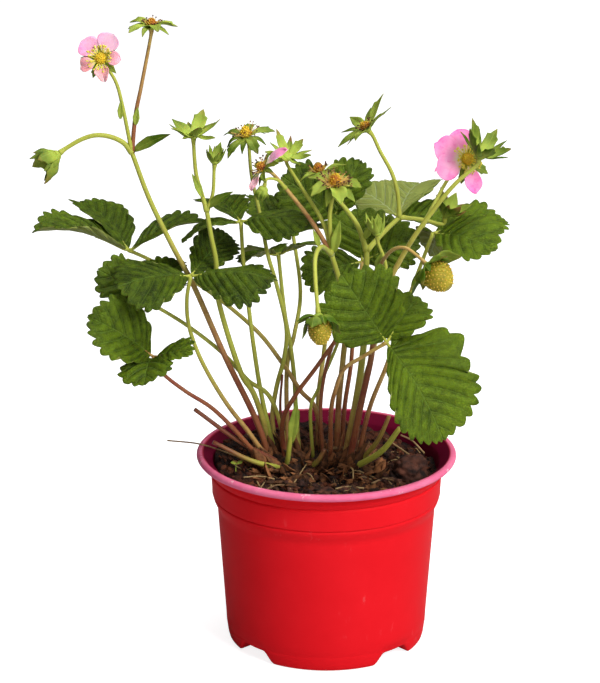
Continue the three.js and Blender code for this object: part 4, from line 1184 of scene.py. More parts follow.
@dataclass
class Soil:
    """Peat that fills the pot: a lumpy top over a plain body, with crumbs, chips and fibres."""

    centre: tuple[float, float] = (-6.0, -1.0)
    edge_height: float = 88.0
    mound: float = 2.6
    mound_radii: tuple[float, float] = (38.0, 31.6)
    lump: float = 1.1
    bank: float = 5.5
    seed: int = 11
    fibres: int = 240
    around: int = 200
    rings: int = 64
    reach: float = 54.0

    def height(self, places: Array) -> Array:
        """The solid's top: a mound round the crown plus shallow lumps.

        Args:
            places: where, in mm.

        Returns:
            A height for each, in mm.
        """
        x, y = places[..., 0], places[..., 1]
        wide, deep = self.mound_radii
        away = np.hypot((x - self.centre[0]) / wide, (y - self.centre[1]) / deep)
        lumps = np.sin(x * 0.31 + 1.3) * np.cos(y * 0.27 - x * 0.11)
        return self.edge_height + self.mound * np.exp(-away * away) + self.lump * lumps

    def rough(self, places: Array) -> Array:
        """The shown top: the solid's top plus noise of 9, 4 and 2 mm reach, and a bank where the
        peat was pushed up against the wall at the left and the back.

        Args:
            places: where, in mm.

        Returns:
            A height for each, in mm.
        """
        flat = places[..., :2]
        rearward = smoothstep(-8, 30, flat[..., 1] * 0.6 - flat[..., 0] * 0.8)
        banked = rearward * smoothstep(34, 55, np.linalg.norm(flat, axis=-1))
        noise = layered(flat, self.seed, (1.3, 9), (0.7, 4), (0.35, 2))
        return self.height(places) + self.bank * banked + noise

    def body(self) -> Surface:
        """Builds the peat itself: rings from the wall at the bottom up to the edge and then in
        to the middle.

        Returns:
            The body with a value "tone".
        """
        circle = compass(turns(self.around))
        wall = ((48.6, 7.8), (50, 20), (52.6, 71), (55.3, 77), (55.8, 84))
        rows = [at_height(radius * circle, np.full(self.around, z)) for radius, z in wall]
        for share in np.linspace(0, 0.985, self.rings):
            flat = 55.9 * (1 - share) * circle
            rows.append(at_height(flat, self.rough(flat)))
        rings = np.array(rows)
        return closed_rings(rings, tone=0.08 + 0.12 * wavy(rings[..., :2], 14, self.seed + 5))

    def scattered(
        self,
        count: int,
        sizes: tuple[float, float],
        flatness: float,
        draw: int,
        near: Vec | None = None,
        spread: float = 0.0,
    ) -> Surface:
        """Many small stones: twelve-cornered lumps, each stretched, turned and sunk a little.

        Args:
            count: how many.
            sizes: smallest and largest half-width in mm.
            flatness: height as a share of width.
            draw: names the draw.
            near: a place round which they gather, or None for all over the soil.
            spread: how far they gather, in mm.

        Returns:
            The lumps with a value "tone" for each.
        """
        rng = np.random.default_rng(self.seed + draw)
        corners, faces = icosahedron()
        radius = self.reach * np.sqrt(rng.uniform(0, 1, count))
        flat = radius[:, None] * compass(rng.uniform(0, math.tau, count))
        if near is not None:
            flat = kept_in(np.asarray(near) + rng.normal(size=(count, 2)) * spread, 53.5)
        size = sizes[0] + (sizes[1] - sizes[0]) * rng.uniform(0, 1, count) ** 2.4
        stretch = [rng.uniform(0.7, 1.5, count), rng.uniform(0.6, 1.1, count)]
        stretch = np.stack([*stretch, np.full(count, flatness)], axis=-1)
        shape = corners[None] * (1 + 0.25 * rng.normal(size=(count, len(corners), 1)))
        shape = shape * (size[:, None] * stretch)[:, None]
        shape = np.einsum("nij,nkj->nki", random_turns(rng, count, 0.6), shape)
        middles = at_height(flat, self.rough(flat) + size * flatness * 0.35)
        return copies(shape + middles[:, None], faces, True, rng.uniform(-0.15, 0.75, count))

    def fibre(self, rng: np.random.Generator, length: float, radius: float) -> Surface:
        """Builds one root or straw that lies on the soil, its ends tucked in.

        Args:
            rng: the draw.
            length: in mm.
            radius: in mm.

        Returns:
            A short wandering tube.
        """
        start = rng.uniform(-1, 1, 2)
        start = start / max(1, np.linalg.norm(start)) * rng.uniform(6, 50)
        heading = rng.uniform(0, math.tau)
        steps = np.linspace(-0.5, 0.5, 9)
        angle = heading + rng.normal() * 0.8 * steps
        flat = start + np.cumsum(compass(angle), axis=0) * length / len(steps)
        flat = kept_in(flat, self.reach)
        arch = rng.uniform(0.2, 2.2) * (1 - (2 * steps) ** 2) - 0.5
        path = at_height(flat, self.rough(flat) + radius + arch)
        return tube(path, radius * (1 - 0.4 * np.abs(steps)), 5, tone=rng.uniform(0, 1))

    def seedling(self) -> Surface:
        """Builds a weed that has just come up near the left edge.

        Returns:
            Two round seed leaves on a thread.
        """
        foot = np.array([-45.0, -15, 0])
        foot[2] = self.rough(foot) - 0.3
        head = foot + np.array([0.5, -0.5, 4.5])
        parts = [tube(smooth_route([foot, foot + [0, 0.3, 2.5], head]), 0.25, 6, tone=0.9)]
        s = np.linspace(0, 1, 10)[:, None]
        half = 1.1 * np.sqrt(np.clip(1 - (2 * s - 1) ** 2, 0, 1)) + 0.05
        across = half * np.linspace(-1, 1, 7)
        for turn in (0.4, 3.3):
            tip = (math.cos(turn), math.sin(turn), 0.25)
            along, side, up, _ = blade_axes((0, 0, 0), tip, (0, -0.3, 1))
            grid = moved(head, (3.2 * s, along), (across, side), (0.2 * np.abs(across), up))
            parts.append(blade(grid, 0.3, along=0.5, rib=1.0, tone=0.75))
        return Surface.joined(parts)

    def made(self, palette: Palette) -> None:
        """Builds the peat, the heaps that lie on it, the fibres and the seedling.

        Args:
            palette: the finishes.
        """
        self.body().made("peat_body", palette["soil"], "soil", "soil")
        for name, finish, slot, heaps in HEAPS:
            lumps = Surface.joined(self.scattered(*heap) for heap in heaps)
            lumps.made(name, palette[finish], slot)
        rng = np.random.default_rng(self.seed + 9)
        roots = [
            self.fibre(rng, rng.uniform(8, 26), rng.uniform(0.14, 0.42))
            for _ in range(self.fibres)
        ]
        roots += [tube(smooth_route(route), radius, 6, tone=tone) for route, radius, tone in STRAWS]
        Surface.joined(roots).made("root_fibres", palette["straw"], "soil")
        self.seedling().made("seedling", palette["sepal"], "leaf")


HEAPS = (
    (
        "peat_crumbs", "soil", "soil",
        ((2600, (0.35, 2.1), 0.7, 3), (500, (0.5, 2.0), 0.6, 4, (12, -30), 15)),
    ),
    (
        "bark_bits", "bark", "bark",
        (
            (150, (0.8, 3.6), 0.35, 6),
            (130, (0.9, 4.2), 0.55, 7, (2, -24), 13),
            (60, (0.9, 3.4), 0.5, 8, (38, -14), 8),
        ),
    ),
    (
        "crown_scraps", "crown", "bark",
        (
            (46, (1.4, 4.6), 0.4, 12, (-14, -25), 7),
            (30, (1.2, 4.0), 0.4, 13, (24, -27), 6),
            (60, (0.8, 2.8), 0.4, 14, (2, -22), 16),
        ),
    ),
)


def random_turns(rng: np.random.Generator, count: int, tilt: float) -> Array:
    """Rotation matrices: any turn about the vertical, then a tilt, by the sum of the identity,
    sin(tilt) times the tilt axis's cross matrix and 1 - cos(tilt) times its square.

    Args:
        rng: the draw.
        count: how many.
        tilt: the spread of the tilts, in radians.

    Returns:
        Matrices of shape (count, 3, 3).
    """
    spin = rng.uniform(0, math.tau, count)
    lean = (rng.normal(size=count) * tilt)[:, None, None]
    x, y = compass(rng.uniform(0, math.tau, count)).T
    cosine, sine = compass(spin).T
    zero, one = np.zeros(count), np.ones(count)
    turn = np.array([[cosine, -sine, zero], [sine, cosine, zero], [zero, zero, one]])
    cross = np.array([[zero, -zero, y], [zero, zero, -x], [-y, x, zero]]).transpose(2, 0, 1)
    tip = np.eye(3) + np.sin(lean) * cross + (1 - np.cos(lean)) * (cross @ cross)
    return tip @ turn.transpose(2, 0, 1)


@dataclass
class BarkLump:
    """A piece of bark half sunk in the soil: a stretched ball with a cracked surface."""

    name: str
    at: Vec
    size: Vec
    turn_deg: float
    seed: int

    def made(self, palette: Palette) -> None:
        """Builds the lump: radius 0.9 plus noise at three reaches, then stretched.

        Args:
            palette: the finishes.
        """
        rows, columns = 48, 72
        tilt = np.linspace(0.02, math.pi - 0.02, rows)[::-1, None, None]
        pole = np.broadcast_to(np.cos(tilt), (rows, columns, 1))
        ball = np.concatenate([pole, np.sin(tilt) * compass(turns(columns))], axis=-1)
        rough = layered(ball, self.seed, (0.12, 1.1), (0.10, 0.45), (0.05, 0.2))
        places = ball * (0.9 + rough)[..., None] * np.asarray(self.size)
        cosine, sine = compass(math.radians(self.turn_deg))
        spin = np.array([[cosine, -sine, 0], [sine, cosine, 0], [0, 0, 1]])
        tone = 0.3 + 0.45 * wavy(ball, 0.4, self.seed + 3)
        skin = closed_rings(places @ spin.T + np.asarray(self.at), tone=tone)
        skin.made(self.name + "_skin", palette["bark"], "bark", self.name)


STRAWS = (
    (((-80, 5, 101.5), (-64.5, 6, 99.4), (-52, 7, 95), (-40, 1, 92)), 0.4, 0.3),
    (((7, 8, 96), (13, -2, 94), (19, -12, 91)), 0.4, 1.0),
    (((-9, -8, 95), (-13, -20, 93.5), (-18, -33, 90)), 0.35, 1.1),
    (((12, -14, 94), (13, -18, 94), (13, -24, 90)), 0.45, 1.0),
    (((4, -34, 90.5), (11, -33, 91.2), (18, -32, 90)), 0.5, 0.9),
    (((38, 20, 99), (44, 18, 96.5), (50, 15, 91)), 0.5, 0.4),
    (((3, -2, 100), (12, 2, 98), (24, 4, 92)), 0.8, 0.1),
    (((30, 12, 100), (38, 4, 97), (46, -2, 93)), 0.45, 0.5),
    (((-46, -24, 92), (-33, -22, 92.5), (-22, -25, 91)), 0.35, 0.9),
    (((-30, -34, 90), (-24, -30, 91), (-15, -31, 90)), 0.5, 0.2),
    (((22, -28, 91), (29, -24, 92), (36, -25, 90)), 0.6, 0.2),
)

BARK = (
    BarkLump("bark_lump", (42, -13.6, 93), (9.8, 7.8, 8.6), 20, 61),
    BarkLump("bark_chip", (-2, -37, 89.6), (8, 4, 2.6), -12, 71),
)


# Leaves


@dataclass(frozen=True)
class Leaflet:
    """One leaflet: where its tip is, its width, and the way its upper side faces.

    fold raises the sides from the rib, bulge arches the rib, skew widens one side, and tone
    makes it fresher or darker. Of two values the first is for the side that is on the right of
    one who looks from the hub to the tip: shoulder widens the base there, and lift raises the
    rim, in mm. flipped shows the pale side on top.
    """

    tip: Vec
    width: float
    face: Vec
    fold: float = 0.2
    bulge: float = 0.08
    skew: float = 0.0
    shoulder: tuple[float, float] = (0.15, 0.15)
    lift: tuple[float, float] = (0.0, 0.0)
    tone: float = 0.0
    flipped: bool = False


@dataclass(frozen=True)
class Leaf:
    """A leaf: its stalk's route, the hub that its leaflets meet at, and how fresh it is."""

    name: str
    hub: Vec
    route: Sequence[Vec]
    leaflets: Sequence[Leaflet]
    tone: float = 0.5
    green: float = 0.4

    TOOTH_WIDTH = 5.8
    TOOTH_DEPTH = 2.4
    ROWS_PER_TOOTH = 8
    COLUMNS = 23
    APEX = 0.375
    THICKNESS = 0.36
    RUFFLE = 1.1
    FIRST = 1.6
    STALK = (1.28, 0.9)

    def blade_of(self, spec: Leaflet, number: int) -> Surface:
        """A leaflet's blade, as a grid: rows run from the rib forwards to a place on the rim,
        as the side veins do, and columns run along the rim.

        The rim follows an angle from 0.04 to 0.985 of half a turn. With t = (1 - cos angle) / 2
        it is t^0.8 of the length along, and 1.1 sin(angle) (1 - 0.55 (1 - t)^2) of the half
        width across. A tooth is 1 - q^1.6, with q the way from its apex to its foot. Between
        teeth the rim is drawn in along its own normal, and each tooth leans towards the tip.
        Between the side veins the blade bulges, and its rim is ruffled by smooth noise.

        Args:
            spec: the leaflet.
            number: its number in the leaf, for the draw of its ruffles.

        Returns:
            The blade with the values vein, rib, out and tone.
        """
        hub = np.asarray(self.hub, float)
        along, side, up, length = blade_axes(hub, spec.tip, spec.face)
        seed = sum(map(ord, self.name)) * 7 + number
        rng = np.random.default_rng(seed)
        teeth = max(5, round(length / self.TOOTH_WIDTH))
        rows, apex = self.ROWS_PER_TOOTH, self.APEX

        step = np.arange(-rows, int((teeth + 0.5) * rows) + 1) / rows
        toothed = np.clip(step / (teeth + 0.5), 0, 1)
        u = np.where(step > 0, 0.17 + 0.83 * (1 - (1 - toothed) ** 1.22), 0.17 * (1 + step))
        phase = step % 1
        away = np.where(phase < apex, (apex - phase) / apex, (phase - apex) / (1 - apex))
        tooth = np.where(step > 0, 1 - away**1.6, 0.0)
        uneven = 1 + 0.3 * np.sin(np.floor(step) * 2.4 + seed)
        size = smoothstep(0.04, 0.42, u) * (1 - 0.5 * smoothstep(0.8, 1.0, u)) * uneven
        depth = self.TOOTH_DEPTH * (spec.width / 34) ** 0.4 * size

        angle = math.pi * (0.04 + 0.945 * u)
        near = (1 - np.cos(angle)) / 2
        full = length - self.FIRST - 0.5
        wide = spec.width / 2 * 1.1 * np.sin(angle) * (1 - 0.55 * (1 - near) ** 2)
        rim = np.stack([near**0.8 * full, wide])
        heading = unit(np.gradient(rim, axis=1).T).T
        outward = np.stack([-heading[1], heading[0]])
        change = outward * depth * (tooth - 1) + heading * depth * 0.55 * tooth
        change[0] = np.minimum(change[0], full - rim[0])
        rib = np.minimum(0.02 + 0.965 * u**2.3, near**0.8) * full

        v = np.linspace(-1, 1, self.COLUMNS)
        out, sign = np.abs(v)[None], np.sign(v)
        lean = out**3
        based = np.exp(-(((near - 0.16) / 0.15) ** 2))[:, None]
        based = based * np.where(v < 0, *spec.shoulder)
        forward = rib[:, None] + (rim[0] - rib)[:, None] * out**1.12 + change[0][:, None] * lean
        forward = forward - 0.16 * full * based * out**2
        across = sign * (rim[1][:, None] * out + change[1][:, None] * lean)
        across = across * (1 - spec.skew * sign[None]) * (1 + based)
        swing = wavy(np.stack([u * 40, np.full_like(u, number * 9)], axis=-1), 26, seed)
        across = across * (1 + 0.05 * swing[:, None])

        share = forward / full
        arch = np.sin(math.pi * share)
        vein = np.abs((phase - apex + 0.5) % 1 - 0.5)
        between = np.sin(math.pi * np.clip(out, 0.03, 1) ** 0.8) ** 0.6
        between = (2 * vein[:, None]) ** 1.2 * between
        at = np.stack([forward, across], axis=-1)
        lifted = np.where(v < 0, *spec.lift) * lean
        lifted = lifted * np.sin(math.pi * np.clip(share, 0, 1)) ** 0.7
        height = spec.bulge * length * arch + spec.fold * np.abs(across)
        height = height + 1.25 * between * (rim[1] / rim[1].max())[:, None]
        height = height + self.RUFFLE * (0.2 + lean) * wavy(at, 15, seed + 3) + lifted
        grid = moved(hub, (self.FIRST + forward, along), (across, side), (height, up))
        tone = self.tone + spec.tone + rng.uniform(-0.06, 0.06) + 0.14 * wavy(at, 22, seed + 5)
        values = {"vein": vein[:, None], "rib": np.abs(across), "out": out}
        made = blade(grid, self.THICKNESS, tone=np.clip(tone, 0, 1), **values)
        if spec.flipped:
            made.values["under"] = 1 - made.values["under"]
        return made

    def stems(self) -> list[Surface]:
        """Builds the leaf's stalk and the stems of its leaflets.

        Returns:
            The stalk up to the hub, and a short stem into the rib of each leaflet.
        """
        path = smooth_route([*self.route, self.hub])
        far = reached(path)
        share = far / far[-1]
        swelling = 0.45 * np.exp(-((far / 7) ** 2))
        swelling = swelling + 0.25 * np.exp(-(((far[-1] - far) / 2.5) ** 2))
        stems = [tube(path, 1.28 - 0.38 * share + swelling, 12, tone=self.green)]
        hub = np.asarray(self.hub, float)
        steps = np.linspace(0, 0.35, 14)
        for spec in self.leaflets:
            along, _, up, length = blade_axes(hub, spec.tip, spec.face)
            height = spec.bulge * length * np.sin(math.pi * steps) - 0.25 * (steps > 0)
            rib = moved(hub, (self.FIRST + (length - self.FIRST) * steps, along), (height, up))
            path = np.concatenate([[hub], rib])
            radii = np.linspace(0.8, 0.15, len(path))
            stems.append(tube(path, radii, 8, tone=min(1, self.green + 0.3)))
        return stems

    def made(self, palette: Palette) -> None:
        """Builds the leaf's blades as one piece."""
        blades = [self.blade_of(spec, number) for number, spec in enumerate(self.leaflets)]
        Surface.joined(blades).made(self.name + "_blades", palette["leaf"], "leaf", self.name)


LEAVES = (
    Leaf(
        "leaf_left_low", (-84, -24, 155),
        ((-26, -8, 87), (-43, -14, 111), (-56, -17, 126), (-69, -20, 136), (-80, -22, 146)),
        (
            Leaflet((-115, -38, 180), 34, (0.1, -0.75, 0.65), fold=0.3, lift=(1.5, 0), tone=0.05),
            Leaflet((-87, -54, 150), 28, (-0.2, -0.45, 0.9)),
            Leaflet((-64, -36, 160), 20, (0.2, -0.4, 0.9)),
        ),
        tone=0.55, green=-0.15,
    ),
    Leaf(
        "leaf_left_rear", (-90, 0, 177),
        ((-17, 3, 87), (-27, 3, 123), (-39, 3, 134), (-52, 2, 149), (-70, 1, 164)),
        (
            Leaflet((-112, -6, 194), 28, (0.5, -0.8, 0.5), fold=0.1),
            Leaflet((-69, -12, 186), 22, (0.1, 0, 1)),
            Leaflet((-73, 25, 190), 20, (-0.1, -0.2, 0.95)),
        ),
        tone=0.6, green=0.75,
    ),
    Leaf(
        "leaf_left_high", (-98, 18, 197),
        (
            (0, 1, 87), (-5, 2, 118), (-13, 5, 128), (-22, 9, 141), (-36, 16, 157), (-62, 31, 174),
            (-87, 30, 188),
        ),
        (
            Leaflet((-145, 10, 209), 34, (0, -0.1, 1), fold=0.35, lift=(3.5, 0), tone=0.25),
            Leaflet((-126, 54, 213), 32, (0.3, -0.1, 0.95), fold=0.25),
            Leaflet((-59, 30, 209), 32, (0, 0.05, 1), fold=0.2),
        ),
        tone=0.3, green=0.35,
    ),
    Leaf(
        "leaf_left_mid", (-66, -14, 193),
        (
            (-24, -5, 87), (-38, -9, 110), (-50, -12, 128), (-61, -14, 149), (-67, -15, 167),
            (-68, -15, 181),
        ),
        (
            Leaflet((-101, -31, 192), 38, (-0.1, -0.5, 0.85), fold=-0.2),
            Leaflet((-25, -29, 195), 36, (0, -0.3, 0.95), fold=-0.45),
            Leaflet((-49, 30, 203), 24, (0.4, -0.25, 0.9), fold=0.1, bulge=0.03),
        ),
        tone=0.16, green=0.5,
    ),
    Leaf(
        "leaf_centre_left", (-42, 2, 216),
        ((-24, 1, 87), (-32, 3, 124), (-36, 4, 150), (-39, 4, 176), (-41, 3, 196)),
        (
            Leaflet((-9, -9, 218), 30, (0, -0.35, 0.93), fold=-0.3),
            Leaflet((-72, 2, 207), 16, (0, 0, 1), fold=0.1),
            Leaflet((-58, 36, 218), 28, (0, 0, 1), fold=0.2),
        ),
        tone=0.3, green=0.95,
    ),
    Leaf(
        "leaf_centre_under", (-24, 22, 194),
        ((-13, 2, 87), (-15, 5, 112), (-16, 10, 132), (-18, 14, 149), (-21, 18, 166)),
        (
            Leaflet((-3, 12, 201), 20, (0.1, 0.1, 1), fold=0.1),
            Leaflet((-43, 10, 194), 24, (0, 0.35, 0.93), fold=0.1),
            Leaflet((-34, 52, 184), 26, (0, -0.1, 1), fold=0.2),
        ),
        tone=0.4, green=0.8,
    ),
    Leaf(
        "leaf_back_left", (-17, 46, 200),
        ((-19, 0, 87), (-20, 7, 128), (-19, 14, 143), (-16, 20, 153), (-13, 32, 172)),
        (
            Leaflet((-41, 44, 213), 30, (0.2, -0.5, 0.8), fold=0.1),
            Leaflet((-28, 88, 206), 36, (0, -0.1, 1), fold=0.25),
            Leaflet((12, 70, 188), 28, (0.1, 0.1, 1), fold=0.2),
        ),
        tone=0.3, green=0.45,
    ),
    Leaf(
        "leaf_back_centre", (4, 50, 205),
        ((-4, 4, 87), (-4, 12, 121), (-1, 24, 143), (2, 37, 171)),
        (
            Leaflet((-23, 44, 229), 34, (0.3, -0.9, 0.3), fold=0.1),
            Leaflet((18, 62, 233), 26, (-0.4, -0.85, 0.2), fold=0.2),
            Leaflet((0, 94, 216), 38, (0, 0, 1), fold=0.25),
        ),
        tone=0.35, green=0.5,
    ),
    Leaf(
        "leaf_centre_right", (18, 26, 189),
        ((7, 3, 87), (9, 7, 117), (12, 11, 137), (13, 13, 148), (15, 19, 168)),
        (
            Leaflet((-13, 20, 182), 28, (0.1, -0.8, 0.6), fold=0.1),
            Leaflet((15, 38, 214), 36, (0, -0.85, 0.5), fold=0.15),
            Leaflet((47, 22, 202), 32, (-0.2, -0.8, 0.6), fold=0.15, lift=(2, 0)),
        ),
        tone=0.62, green=0.0,
    ),
    Leaf(
        "leaf_back_right", (37, 58, 204),
        ((11, 3, 87), (18, 12, 126), (25, 24, 148), (33, 42, 182)),
        (
            Leaflet((15, 74, 214), 30, (0, -0.3, 0.95), fold=0.1, flipped=True),
            Leaflet((50, 94, 213), 34, (-0.2, -0.25, 0.95), fold=0.15, lift=(3, 2), flipped=True),
            Leaflet((72, 68, 196), 32, (0.3, -0.3, 0.9), fold=0.2),
        ),
        tone=0.5, green=0.6,
    ),
    Leaf(
        "leaf_right", (52, 6, 209),
        ((14, -5, 87), (21, -5, 121), (30, -3, 145), (38, 0, 171), (47, 4, 196)),
        (
            Leaflet((82, -16, 206), 38, (0, -0.5, 0.87), fold=0.15, tone=0.4),
            Leaflet((88.9, 22, 212), 30, (0.1, -0.4, 0.92), fold=0.1, lift=(-3, 0), tone=0.35),
            Leaflet((52, 38, 188), 26, (0.6, 0.3, 0.75), fold=0.2),
        ),
        tone=0.5, green=0.3,
    ),
    Leaf(
        "leaf_front_right", (28, -42, 168),
        ((2, -8, 87), (2, -19, 124), (4, -27, 139), (8, -34, 152), (17, -39, 160)),
        (
            Leaflet(
                (55, -62, 125), 48, (0.25, -0.85, 0.4), fold=0.1, bulge=0.12, skew=0.2,
                shoulder=(0.85, 0.0),
            ),
            Leaflet(
                (6, -45, 203), 44, (-0.1, -0.9, 0.35), fold=0.12, shoulder=(0.4, 0.3), tone=-0.12,
            ),
            Leaflet((44, -31, 188), 27, (-0.3, -0.8, 0.5), fold=0.1, tone=0.1),
        ),
        tone=0.85, green=0.2,
    ),
)


# Stalks and crown


@dataclass(frozen=True)
class FlowerStalk:
    """A stalk through a route, which runs on to a bloom's foot where it bears one. Its radii
    are those of its root and its end."""

    radii: tuple[float, float]
    route: Sequence[Vec]
    bears: str = ""
    green: float = 0.7
    from_crown: bool = False

    NECK = 3.5
    GAP = 0.3

    def path(self) -> Array:
        """Its middle line, which ends in line with the axis of the bloom that it bears.

        Returns:
            Places on it.
        """
        if not self.bears:
            return smooth_route(self.route)
        foot, axis = BLOOMS[self.bears].frame()
        return smooth_route([*self.route, foot - axis * self.NECK, foot + axis * self.GAP])

    def radii_along(self, path: Array) -> Array:
        """Its radius: it thins evenly, and swells at its root and its bloom.

        Args:
            path: places on its middle line.

        Returns:
            A radius for each.
        """
        far = reached(path)
        root, end = self.radii
        slim, tall, reach = (0.86, 0.5, 7) if self.from_crown else (1.0, 0.35, 3)
        swell = tall * np.exp(-((far / reach) ** 2))
        neck = 0.45 * np.exp(-(((far[-1] - far) / 2.2) ** 2)) if self.bears else 0.0
        return (root + (end - root) * far / far[-1]) * slim + swell + neck


FLOWER_STALKS = (
    FlowerStalk(
        (1.9, 1.3), ((-26, -2, 87), (-35, -3, 115), (-50, -3, 148), (-65, -2, 184), (-75, -2, 204),
        (-86, -2, 228), (-94, -2, 251)), green=0.05, from_crown=True,
    ),
    FlowerStalk(
        (1.3, 1.0), ((-94, -2, 251), (-98, -2.5, 256), (-104, -3, 259), (-111, -4, 260),
        (-118, -4.5, 258)), "left_tip", 0.8,
    ),
    FlowerStalk((1.0, 0.75), ((-94, -2, 251), (-98, -4, 275), (-101, -3, 286)), "left_pink", 0.5),
    FlowerStalk((1.1, 0.8), ((-94, -2, 251), (-92, 0, 269), (-89, 1, 283)), "left_top", -0.9),
    FlowerStalk(
        (1.8, 1.3), ((-25, 5, 87), (-35, 0, 125), (-43, -2, 141), (-53, -6, 178), (-54, -7, 198),
        (-56, -9.5, 211), (-58, -10, 224)), green=0.7, from_crown=True,
    ),
    FlowerStalk((1.1, 0.85), ((-58, -10, 224), (-60, -9, 231), (-63, -8, 242)), "left_star", 1.0),
    FlowerStalk((0.95, 0.75), ((-58, -10, 224), (-55, -10, 233)), "left_bud", 1.0),
    FlowerStalk(
        (1.5, 0.95), ((-24, 7, 87), (-27, 5, 112), (-25, 6, 129), (-21, 7, 145), (-20, 6, 161),
        (-25, 2, 185), (-29, 0, 200), (-33, 14, 217), (-37, 20, 234)), "back_left", 0.7, True,
    ),
    FlowerStalk(
        (1.9, 1.4), ((5, 1, 87), (6, 0, 122), (8, -4, 147), (9, -8, 164), (7, -12, 185),
        (2, -15, 204)), green=0.35, from_crown=True,
    ),
    FlowerStalk(
        (1.2, 0.85), ((2, -15, 204), (-8, -16, 221), (-20, -17, 237)), "centre_pink", -0.42,
    ),
    FlowerStalk((0.8, 0.6), ((-20, -17, 237), (-24, -20.5, 242)), "centre_bud", 0.9),
    FlowerStalk((1.1, 0.8), ((2, -15, 204), (-2, -14, 219), (-12, -10, 235)), "centre_star", 0.6),
    FlowerStalk((1.2, 0.9), ((2, -15, 204), (1, -17, 223)), "centre_open", 0.9),
    FlowerStalk(
        (1.2, 0.9), ((2, -15, 204), (-3, -27, 211), (-6, -43, 210), (-6, -55, 202)), "berry_front",
        0.7,
    ),
    FlowerStalk(
        (2.3, 1.6), ((8, -4, 87), (15, -8, 130), (18, -12, 158), (19, -12, 180), (19, -9, 204)),
        green=0.6, from_crown=True,
    ),
    FlowerStalk((1.3, 0.9), ((19, -9, 204), (14, -6, 217), (4, -1.5, 229)), "centre_rear", 0.7),
    FlowerStalk((1.3, 1.1), ((19, -9, 204), (28, -5, 213), (35, -2, 219)), green=0.6),
    FlowerStalk((1.1, 0.85), ((35, -2, 219), (46, 1.5, 217)), "right_old", 0.7),
    FlowerStalk(
        (1.1, 0.85), ((35, -2, 219), (34, -2, 231), (31, -1, 241), (25.5, 0, 251)), "right_tall",
        0.8,
    ),
    FlowerStalk(
        (2.1, 1.1), ((10, -8, 87), (16, -13, 123), (21, -16, 149), (23, -18, 164), (27, -20, 185),
        (38, -22, 209), (50, -24, 228), (60, -25, 241)), "right_star", 0.0, True,
    ),
    FlowerStalk((1.0, 0.75), ((45, -23, 220), (51, -15, 229), (58, -6, 239)), "right_pink", 0.8),
    FlowerStalk(
        (1.05, 0.75), ((25, -19, 176), (24, -26, 197), (29, -34, 210), (36, -40, 214)),
        "berry_right", -0.2,
    ),
    FlowerStalk((1.0, 0.8), ((27, -20, 185), (28, -18, 199)), "right_young", 0.9),
    FlowerStalk(
        (1.3, 1.0), ((-20, -2, 87), (-22, -6, 114), (-16, -11, 130), (-6, -13, 145), (8, -9, 164)),
        green=-0.1,
    ),
    FlowerStalk(
        (0.9, 0.8), ((-6, -1, 87), (-8, -4, 120), (-4, -3, 132), (5, -2, 154), (9, -7, 172)),
        green=0.9,
    ),
    FlowerStalk((1.0, 0.8), ((-1, -7, 87), (-3, -8, 124), (1, -8, 150), (8, -8, 168)), green=-0.1),
)

STUBS = (
    (((-20, -6, 92), (-43, -12, 107), (-65, -15, 125)), (1.3, 1.05), (-0.2, -0.9)),
    (((-18, -8, 91), (-36, -16, 98), (-56, -18, 109)), (1.45, 1.0), (1.5, 0.2)),
    (((14, -8, 92), (27, -15, 103), (36, -17, 116)), (1.7, 1.25), (1.2, 0.8)),
    (((15, -4, 92), (25, -7, 105), (31, -8, 119)), (1.4, 1.0), (0.9, 0.5)),
    (((-20, -8, 92), (-19, -13, 100), (-17.5, -14, 112), (-15, -14, 119)), (1.35, 1.1), (1.5, 1.5)),
    (((-20, 2, 92), (-23, 3, 118), (-22, 3, 137)), (0.8, 0.6), (-0.3, -0.9)),
    (((-8, -9, 92), (-4, -14, 98), (-1, -15, 104)), (1.5, 1.1), (1.1, 0.4)),
)

BRACTS = (
    ((-93, -2, 252), (-75, -6, 261), 6, 0.1),
    ((-57.5, -10, 226), (-45, -15, 235), 5, 0.1),
    ((3, -15.5, 205), (6, -19, 222), 5, 0.9),
    ((18, -8, 210), (23, -12, 219), 4, 0.9),
    ((-99, -4, 268), (-98.4, -5, 277.5), 3, 0.8),
    ((-92, -1.5, 264.5), (-90.6, -2.5, 273.5), 3.5, 0.8),
    ((-60, -10, 231), (-65, -11, 243), 3.5, 0.7),
    ((-4, -16, 208), (-7, -17, 217), 3, 0.9),
    ((23, -26, 200), (26, -29, 209), 3, 0.9),
    ((-17.5, -14, 107), (-14.5, -15, 130), 5.2, 0.6),
    ((-17, -13, 108), (-13.5, -12, 124), 4, 0.3),
)


